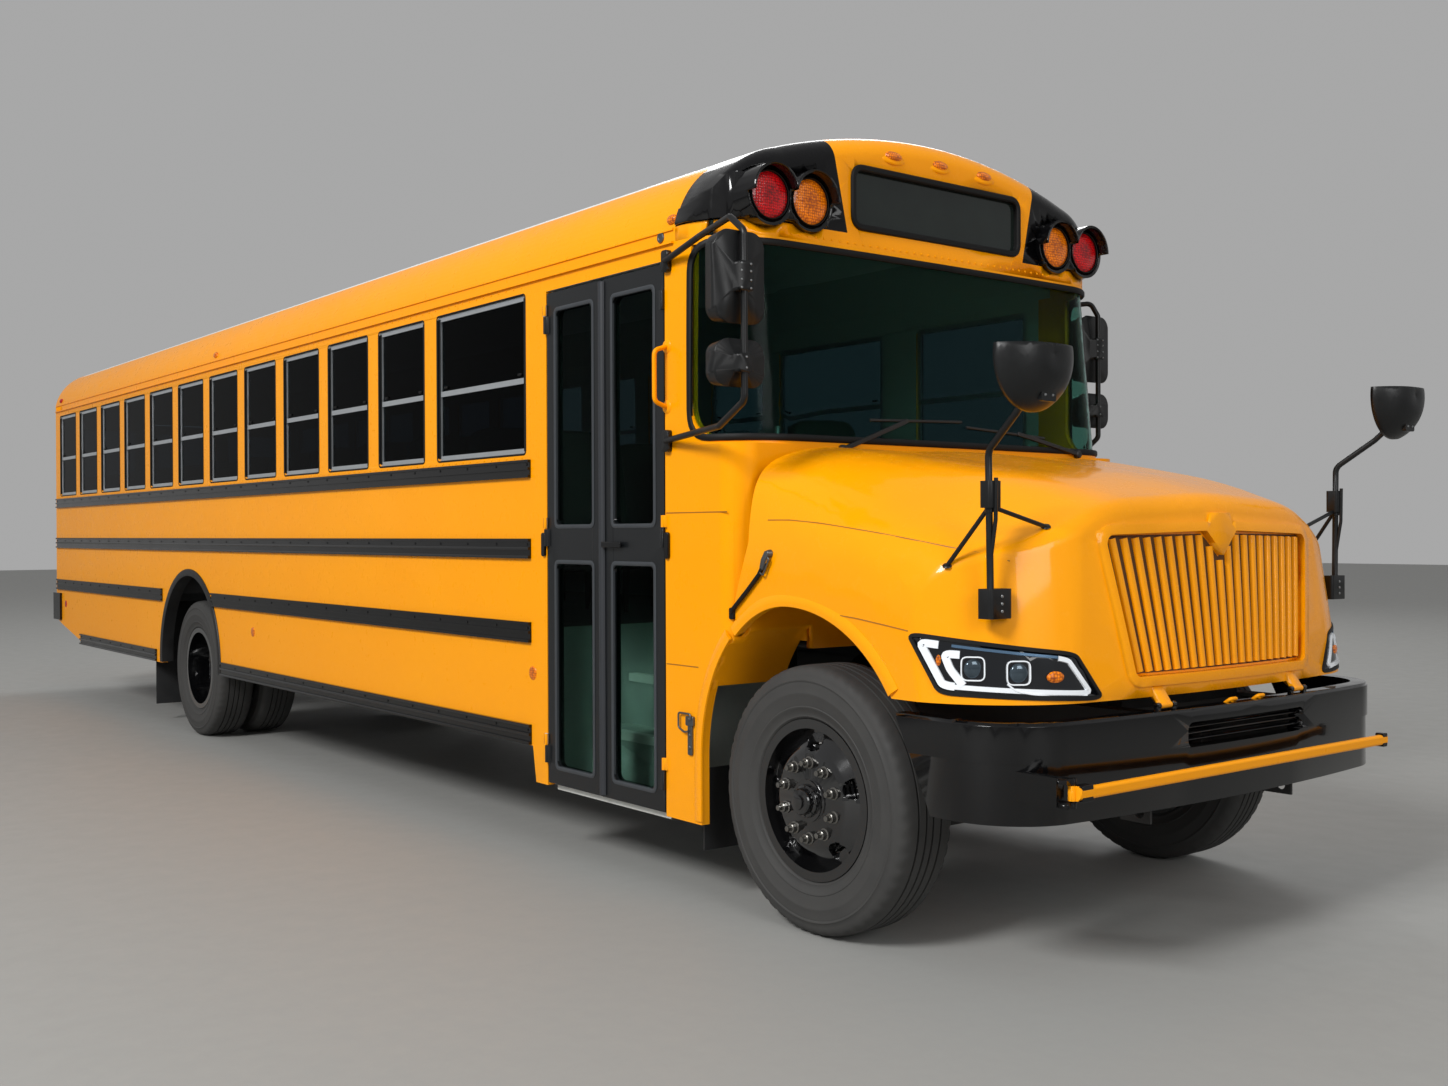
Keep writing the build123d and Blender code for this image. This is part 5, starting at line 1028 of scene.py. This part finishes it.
# Crossing and stop arms: a yellow bar on the bumper that swings out to keep children in
# sight, and a red octagon on the driver's side, left blank. Both turn on steel brackets.
skin("arm_brackets", satin_black)
skin("crossing_arm", yellow_paint)
sign_red = finish("retroreflective_red", "#B3131B", "#A00F17", (0.3, 0.42), 4, 0.15)
sign_white = finish("retroreflective_white", "#E9EAE8", "#DCDDDB", (0.3, 0.42), 4, 0.15)
skin("stop_sign", sign_red)
sign_x, sign_z, sign_radius = -1500, 1650, 236
turn = np.radians(np.arange(8) * 45 + 22.5)
octagon = np.stack([sign_x + sign_radius * np.cos(turn), sign_z + sign_radius * np.sin(turn)], 1)
border = [carried(upright(octagon, y=y), (0, facing, 0), [(-7, -1), (7, -1), (7, 1), (-7, 1)],
                  closed=True) for y, facing in ((1274.5, 1), (1261.5, -1))]
new_piece("stop_sign_border", border, sign_white, "stop_arm")
lamps = [turned([(0, 16), (30, 13), (44, 4), (46, 0), (0, 0)], (sign_x, y, z), (0, facing, 0), 28)
         for y, facing in ((1274, 1), (1262, -1)) for z in (sign_z + 150, sign_z - 150)]
new_piece("stop_lamps", lamps, red_prisms, "stop_arm", angle=50)
caps = [plate(rounded(rectangle(width, 54, (y, 688)), 8), (1116, 0, 0), 33.5, (0, 1, 0))
        for y, width in ((-1028, 56), (842, 34))]
new_piece("arm_end_caps", caps, satin_black, "crossing_arm", round_edges=2)

# Mirrors: moulded black heads on bent steel tube, silvered glass facing rearwards. The
# moulding has a fine grain, the tube a thick powder coat.
moulded_black = finish("grained_black_plastic", "#0D0E0F", "#151617", (0.3, 0.44), 2.5, 0.2,
                       Specular_IOR_Level=0.35)
mirror_glass = finish("silvered_mirror_glass", "#D7DCDE", "#CDD3D6", (0.01, 0.03), 60, 0.005,
                      Metallic=1.0)
screw_steel = finish("zinc_screws", "#A9ABAC", "#8B8D8E", (0.3, 0.45), 3, 0.1, Metallic=1.0)
skin("mirrors", moulded_black, angle=40)
skin("crossview_mirrors", moulded_black, angle=40)
panes, screws = [], []
for side, head in ((-1, -120), (1, -665)):
    head_y = side * 1400
    for z, height in ((2470, 300), (2150, 140)):
        glass = rounded(rectangle(190, height, (head_y, z)), 40)
        panes.append(plate(glass, (head - 103, 0, 0), 5, (0, 1, 0)))
    places = [(head + 14, head_y + dy, z) for dy in (-22, 22) for z in (2425, 2455, 2488, 2515)]
    places += [(head + 14, head_y, z) for z in (2130, 2170)]
    screws.append(studs(places, (1, 0, 0), 5, 4))
new_piece("mirror_panes", panes, mirror_glass, "bus_body", round_edges=1)
new_piece("mirror_screws", screws, screw_steel, "bus_body")
moon = [(0, 26), (60, 23), (110, 15), (150, 5), (164, -2), (164, -6), (0, -6)]
joint_x, joint_z, moon_top = 800, 1606, 2104
moons, stays, stay_screws = [], [], []
for side in (-1, 1):
    moon_y, post_y = side * 1150, side * 1094
    points, faces = turned(moon, (1014, moon_y, 2075), (-1, 0, 0), 48)
    points[:, 2] = np.minimum(points[:, 2], moon_top)
    moons.append((points, faces))
    for foot in ((640, side * 1129, 1405), (817, side * 827, 1537)):
        stays.append(carried([(joint_x, post_y, joint_z), foot], (0.3, 0.2, 1), ring(8, 10)))
        stays.append(turned([(0, 5), (14, 4), (17, 0), (0, -3)], foot,
                            (0.3, side * 0.4, 0.86), 16))
    stays.append(turned([(0, 22), (17, 20), (17, -20), (0, -22)], (joint_x, post_y, joint_z),
                        (0, 0, 1), 16))
    stays.append(carried([(828, post_y, 1700), (826, post_y, 1560), (806, post_y, 1440)],
                         (1, 0, 0), ring(7, 8)))
    stays.append(plate(rounded(rectangle(70, 110, (moon_y, 1985)), 10), (1080, 0, 0), 16,
                       (0, 1, 0)))
    stay_screws.append(studs([(1096, moon_y + dy, z) for dy in (-18, 18) for z in (1950, 2015)],
                             (1, 0, 0), 5, 4))
    stay_screws.append(studs([(833, side * 1070, z) for z in (1255, 1280, 1305)], (1, 0, 0), 6, 4))
new_piece("crossview_panes", moons, mirror_glass, "hood", angle=60)
new_piece("crossview_stays", stays, moulded_black, "hood", angle=50)
new_piece("crossview_screws", stay_screws, screw_steel, "hood")

# Wheels: pressed steel discs in gloss black with five hand holes, ten zinc nuts on long studs,
# an oil cap on the front hubs and a flange on the rear ones.
wheel_black = enamel("polished_wheel_enamel", "#060607", "#0A0A0C", (0.08, 0.16), 0.0, 0.0002,
                     coat=0.9, level=0.5)[0]
for name in ("front_wheel_left", "front_wheel_right", "rear_wheels_left", "rear_wheels_right"):
    skin(name, wheel_black, angle=20)
stud_steel = finish("zinc_nut_steel", "#8F8E8A", "#5E5A55", (0.2, 0.38), 4, 0.12, Metallic=0.9)
axle_z, nut_circle = 510, 143
nut = [(24, -1), (24, 4), (19, 6), (19, 24), (16, 27), (10.5, 27), (10.5, 44), (0, 46)]
oil_cap = [(64, -40), (64, 4), (60, 10), (52, 13), (50, 34), (45, 40), (30, 42), (28, 50),
           (14, 53), (0, 53)]
flange = [(84, -60), (84, -4), (78, 2), (60, 3), (54, 10), (20, 12), (0, 12)]


def round_hub(station, y, radius, count, first=0):
    """Places at even angles on a circle about a wheel's centre, the first at that angle."""
    turn = np.radians(np.arange(count) * 360 / count + first)
    return np.stack([station + radius * np.cos(turn), np.full(count, y),
                     axle_z + radius * np.sin(turn)], 1)


for side, name in ((-1, "right"), (1, "left")):
    for wheel, station, face_y, hub_y, hub, bolt_circle, bolt_y in (
            ("front_wheel_" + name, front_axle, 1155, 1170, oil_cap, 57, 1182),
            ("rear_wheels_" + name, rear_axle, 910, 1065, flange, 70, 1068)):
        outward = (0, side, 0)
        nuts = [turned(nut, centre, outward, 12)
                for centre in round_hub(station, side * face_y, nut_circle, 10, first=18)]
        new_piece("nuts_" + wheel, nuts, stud_steel, wheel, angle=25)
        bolts = round_hub(station, side * bolt_y, bolt_circle, 8)
        hub_parts = [turned(hub, (station, side * hub_y, axle_z), outward, 40),
                     studs(bolts, outward, 5, 4)]
        new_piece("hub_" + wheel, hub_parts, wheel_black, wheel, angle=35)

# Tyres and flaps: 1020 mm radials of black carbon-filled rubber, moulded with four grooves, slots
# in the shoulders, and raised rings and a rim guard on smooth walls. Behind them hang flaps.
tyre_rubber = finish("carbon_black_tyre_rubber", "#343434", "#454442", (0.6, 0.8), 9, 0.2,
                     Specular_IOR_Level=0.3)


def tyre(station, y, sides=216):
    """One tyre turned from its section of widths and radii: grooves dip 12.5 mm, and at every
    fourth angle the shoulder sinks 5 mm to form slots."""
    wall = np.array([(104, 287), (106, 300), (111, 309), (116, 311), (119, 316), (118, 320),
                     (122, 330), (128, 345), (131.5, 349), (132, 353), (130, 356), (135, 378),
                     (138, 398), (139.5, 402), (139.5, 408), (138, 412), (138, 432), (136, 446),
                     (138.5, 449), (138.5, 454), (134, 458), (131, 472), (127, 484), (118, 498)])
    crown = []
    for left, right in ((-62, -52), (-22, -12), (12, 22), (52, 62)):
        crown += [(left, 509.5), (left + 1.5, 497), (right - 1.5, 497), (right, 509.5)]
    crown = np.array([(-104, 505), (-88, 508)] + crown + [(88, 508), (104, 505)], float)
    section = np.concatenate([wall * (-1, 1), crown, wall[::-1]])
    turn = np.arange(sides) * 2 * np.pi / sides
    radius = np.repeat(section[:, 1][:, None], sides, 1)
    shoulder = (np.abs(section[:, 0]) > 95) & (section[:, 1] > 485)
    slots, slot_depth = np.arange(sides) % 4 == 0, 5.0
    radius = radius - slot_depth * shoulder[:, None] * slots[None]
    across = np.broadcast_to(y + section[:, :1], radius.shape)
    points = np.stack([station + radius * np.cos(turn), across,
                       axle_z + radius * np.sin(turn)], -1)
    return points.reshape(-1, 3), grid_faces(len(section), sides, True, True)


for side, name in ((-1, "right"), (1, "left")):
    for label, station, centres, body in (
            ("front_tyre_" + name, front_axle, (1035,), "front_wheel_" + name),
            ("rear_tyres_" + name, rear_axle, (1060, 730), "rear_wheels_" + name)):
        parts = [tyre(station, side * y) for y in centres]
        piece = new_piece(label + "_tread", parts, tyre_rubber, body, angle=40)
        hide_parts(label)
flap_rubber = finish("mud_flap_rubber", "#141516", "#222223", (0.55, 0.75), 6, 0.3)
skin("mud_flaps", flap_rubber)

# Seats: bench frames of bent tube with cushions and high backs of moulded foam under dark
# green vinyl with a sunk seam. The driver has a taller seat on a pedestal.
seat_vinyl = finish("grained_seat_vinyl", "#243A33", "#1B2C27", (0.4, 0.55), 3, 0.5)


def cushion(centre, long, wide, thick, lean=0.0):
    """A crowned pad: a superellipsoid whose faces bulge, with a sunk seam round its edge, leaned
    back about the crosswise axis."""
    up = np.linspace(-np.pi / 2, np.pi / 2, 13)[:, None]
    turn = (np.arange(32) * np.pi / 16)[None]

    def power(value, exponent):
        """The size of a value raised to an exponent, with its sign kept."""
        return np.sign(value) * np.abs(value) ** exponent
    a = power(np.cos(up), 0.25) * power(np.cos(turn), 0.3)
    b = power(np.cos(up), 0.25) * power(np.sin(turn), 0.3)
    c = power(np.sin(up), 0.55) * (0.86 + 0.14 * np.cos(a * 1.5) * np.cos(b * 1.5))
    seam = 1 - 0.012 * (np.abs(np.sin(up)) < 0.1)
    points = np.stack([a * long / 2 * seam, b * wide / 2 * seam, c * thick / 2 + 0 * turn], -1)
    points = points.reshape(-1, 3)
    x = points[:, 0] * np.cos(lean) - points[:, 2] * np.sin(lean)
    z = points[:, 0] * np.sin(lean) + points[:, 2] * np.cos(lean)
    faces = grid_faces(13, 32, False, True)
    return np.stack([x, points[:, 1], z], 1) + centre, faces


seat_gap = 715  # from row to row
pads, legs = [], []
for side in (-1, 1):
    for row in range(12):
        x, y, aisle_y, wall_y = -2650 - row * seat_gap, side * 684.5, side * 235, side * 1160
        pads.append(cushion((x + 185, y, 1392), 420, 980, 105, 0.05))
        pads.append(cushion((x - 52, y, 1745), 690, 980, 92, 1.685))
        leg = rounded([(x + 330, aisle_y, 1080), (x + 320, aisle_y, 1335), (x + 30, aisle_y, 1325),
                       (x + 20, aisle_y, 1080)], 40, closed=False)
        legs.append(carried(leg, (0, 1, 0), ring(14, 8)))
        for ahead, z in ((20, 1325), (320, 1333)):
            rail = [(x + ahead, aisle_y, z), (x + ahead, wall_y, z)]
            legs.append(carried(rail, (1, 0, 0), ring(13, 8)))
benches = new_piece("bench_pads", pads, seat_vinyl, "bus_body", angle=70)
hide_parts("passenger_seats")
new_piece("bench_frames", legs, satin_black, "bus_body", angle=50)
driver_pads = [cushion((-1610, 600, 1412), 440, 480, 110, 0.04),
               cushion((-1880, 600, 1800), 700, 480, 110, 1.72)]
driver_piece = new_piece("driver_pads", driver_pads, seat_vinyl, "bus_body",
                         angle=70)
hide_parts("driver_seat")
pedestal = plate(rectangle(300, 260, (-1640, 600)), (0, 0, 1075), 290, second=(0, 1, 0))
new_piece("driver_pedestal", [pedestal], satin_black, "bus_body", round_edges=12)

# Dashboard: a moulding of soft black plastic with three plain white dials, and a steering
# wheel moulded in the same plastic.
dash_plastic = finish("soft_touch_dashboard", "#1B1D1F", "#26282A", (0.5, 0.65), 3, 0.3)
skin("dashboard", dash_plastic)
skin("steering_wheel", dash_plastic, angle=60)
dials = [turned([(0, 3), (44, 3), (48, 6), (52, 0), (0, 0)], (-722, y, 1665), (-1, 0, 0.2), 28)
         for y in (430, 560, 690)]
new_piece("dash_dials", dials, sign_white, "bus_body")

# Rear: an emergency door of yellow sheet steel with two panes in rubber seals and a black steel
# lever, and lamps with moulded lenses in a column at each corner.
skin("emergency_door", yellow_paint)
skin("emergency_glass", dark_glass)
door_seals = []
for z, height in ((2220, 680), (1440, 420)):
    outer = rounded(rectangle(512, height + 12, (0, z)), 52)
    door_seals.append(carried(upright(outer, x=rear_face - 8), (-1, 0, 0), ring(13, 8),
                              closed=True))
new_piece("emergency_seals", door_seals, rubber, "emergency_door", angle=60)
lever = [plate(rounded(rectangle(60, 130, (262, 1790)), 10), (rear_face - 8, 0, 0), 10,
               (0, -1, 0)),
         carried([(rear_face - 22, 262, 1790), (rear_face - 46, 262, 1790),
                  (rear_face - 46, 120, 1780)], (0, 0, 1), ring(10, 10))]
new_piece("emergency_lever", lever, satin_black, "emergency_door", angle=50)
doorway = rounded(rectangle(712, 1632, (0, 1845)), 10)
doorway_seal = carried(upright(doorway, x=rear_face - 1), (-1, 0, 0), ring(8, 8), closed=True)
new_piece("doorway_seal", [doorway_seal], rubber, "bus_body", angle=60)
white_lens = finish("clear_reversing_lens", "#D9DDE0", "#C3C8CC", (0.08, 0.2), 7, 0.8,
                    Coat_Weight=0.8)
large = [(0, 30), (50, 28), (74, 23), (84, 14), (87, 0), (0, 0)]
small = [(0, 30), (28, 28), (44, 22), (50, 10), (51, 0), (0, 0)]
lamp_rims = []
for name, profile, z, rim, material in (("brake_lenses", large, 1660, 88, red_prisms),
                                        ("turn_lenses", large, 1440, 88, amber_prisms),
                                        ("reversing_lenses", small, 1270, 52, white_lens)):
    rim_profile = [(rim - 2, 0), (rim + 10, 0), (rim + 9, 9), (rim, 10), (rim - 2, 0)]
    centres = [(rear_face, side * 960, z) for side in (-1, 1)]
    parts = [turned(profile, centre, (-1, 0, 0), 40) for centre in centres]
    piece = new_piece(name, parts, material, "bus_body", angle=50)
    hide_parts("tail_lamps")
    lamp_rims += [turned(rim_profile, centre, (-1, 0, 0), 40) for centre in centres]
new_piece("tail_lamp_rims", lamp_rims, rubber, "bus_body", angle=50)

# Stage, not part of the bus: a pale painted floor, three large soft lamps, and the camera at
# the place, turn and focal length solved from the photograph.
from mathutils import Matrix, Vector

bpy.ops.mesh.primitive_plane_add(size=120)
ground = bpy.context.object
ground.name = "studio_floor"
floor_grey = finish("pale_studio_floor", "#9E9E9B", "#979794", (0.55, 0.65), 10, 0.1)
ground.data.materials.append(floor_grey)

world = bpy.data.worlds.new("studio")
bpy.context.scene.world = world
world.use_nodes = True
tree = world.node_tree
tree.nodes["Background"].inputs["Color"].default_value = (1, 1, 1, 1)
tree.nodes["Background"].inputs["Strength"].default_value = 0.39

lamp_table = [  # place, target, size, power in watts
    ((7, -15, 12), (0, 0, 1), 5, 2800),
    ((20, -3, 8), (4, 0, 1), 7, 800),
    ((-10, 12, 12), (-3, 0, 1), 9, 1000),
]
for place, target, size, power in lamp_table:
    lamp = bpy.data.lights.new("soft_lamp", "AREA")
    lamp.size = size
    lamp.energy = power
    holder = bpy.data.objects.new("soft_lamp", lamp)
    bpy.context.scene.collection.objects.link(holder)
    holder.location = place
    holder.rotation_euler = (Vector(target) - Vector(place)).to_track_quat("-Z", "Y").to_euler()

camera_place = Vector((station_zero / 1000 + 4.0212, -4.7340, 1.5181))
camera_yaw, camera_pitch, camera_roll = 0.907643, -0.0067396, -0.0034437  # radians
focal_px, image_width, sensor = 1434.4, 1448, 36.0
forward = Vector((-np.sin(camera_yaw) * np.cos(camera_pitch),
                  np.cos(camera_yaw) * np.cos(camera_pitch), np.sin(camera_pitch)))
right = Vector((np.cos(camera_yaw), np.sin(camera_yaw), 0))
up = right.cross(forward)
turned_right = right * np.cos(camera_roll) + up * np.sin(camera_roll)
turned_up = up * np.cos(camera_roll) - right * np.sin(camera_roll)
camera_data = bpy.data.cameras.new("photo_camera")
camera_data.sensor_width = sensor
camera_data.lens = focal_px / image_width * sensor
camera_data.clip_end = 200
camera = bpy.data.objects.new("photo_camera", camera_data)
bpy.context.scene.collection.objects.link(camera)
camera.matrix_world = Matrix((
    (turned_right.x, turned_up.x, -forward.x, camera_place.x),
    (turned_right.y, turned_up.y, -forward.y, camera_place.y),
    (turned_right.z, turned_up.z, -forward.z, camera_place.z),
    (0, 0, 0, 1)))
bpy.context.scene.camera = camera
bpy.context.scene.view_settings.view_transform = "Standard"
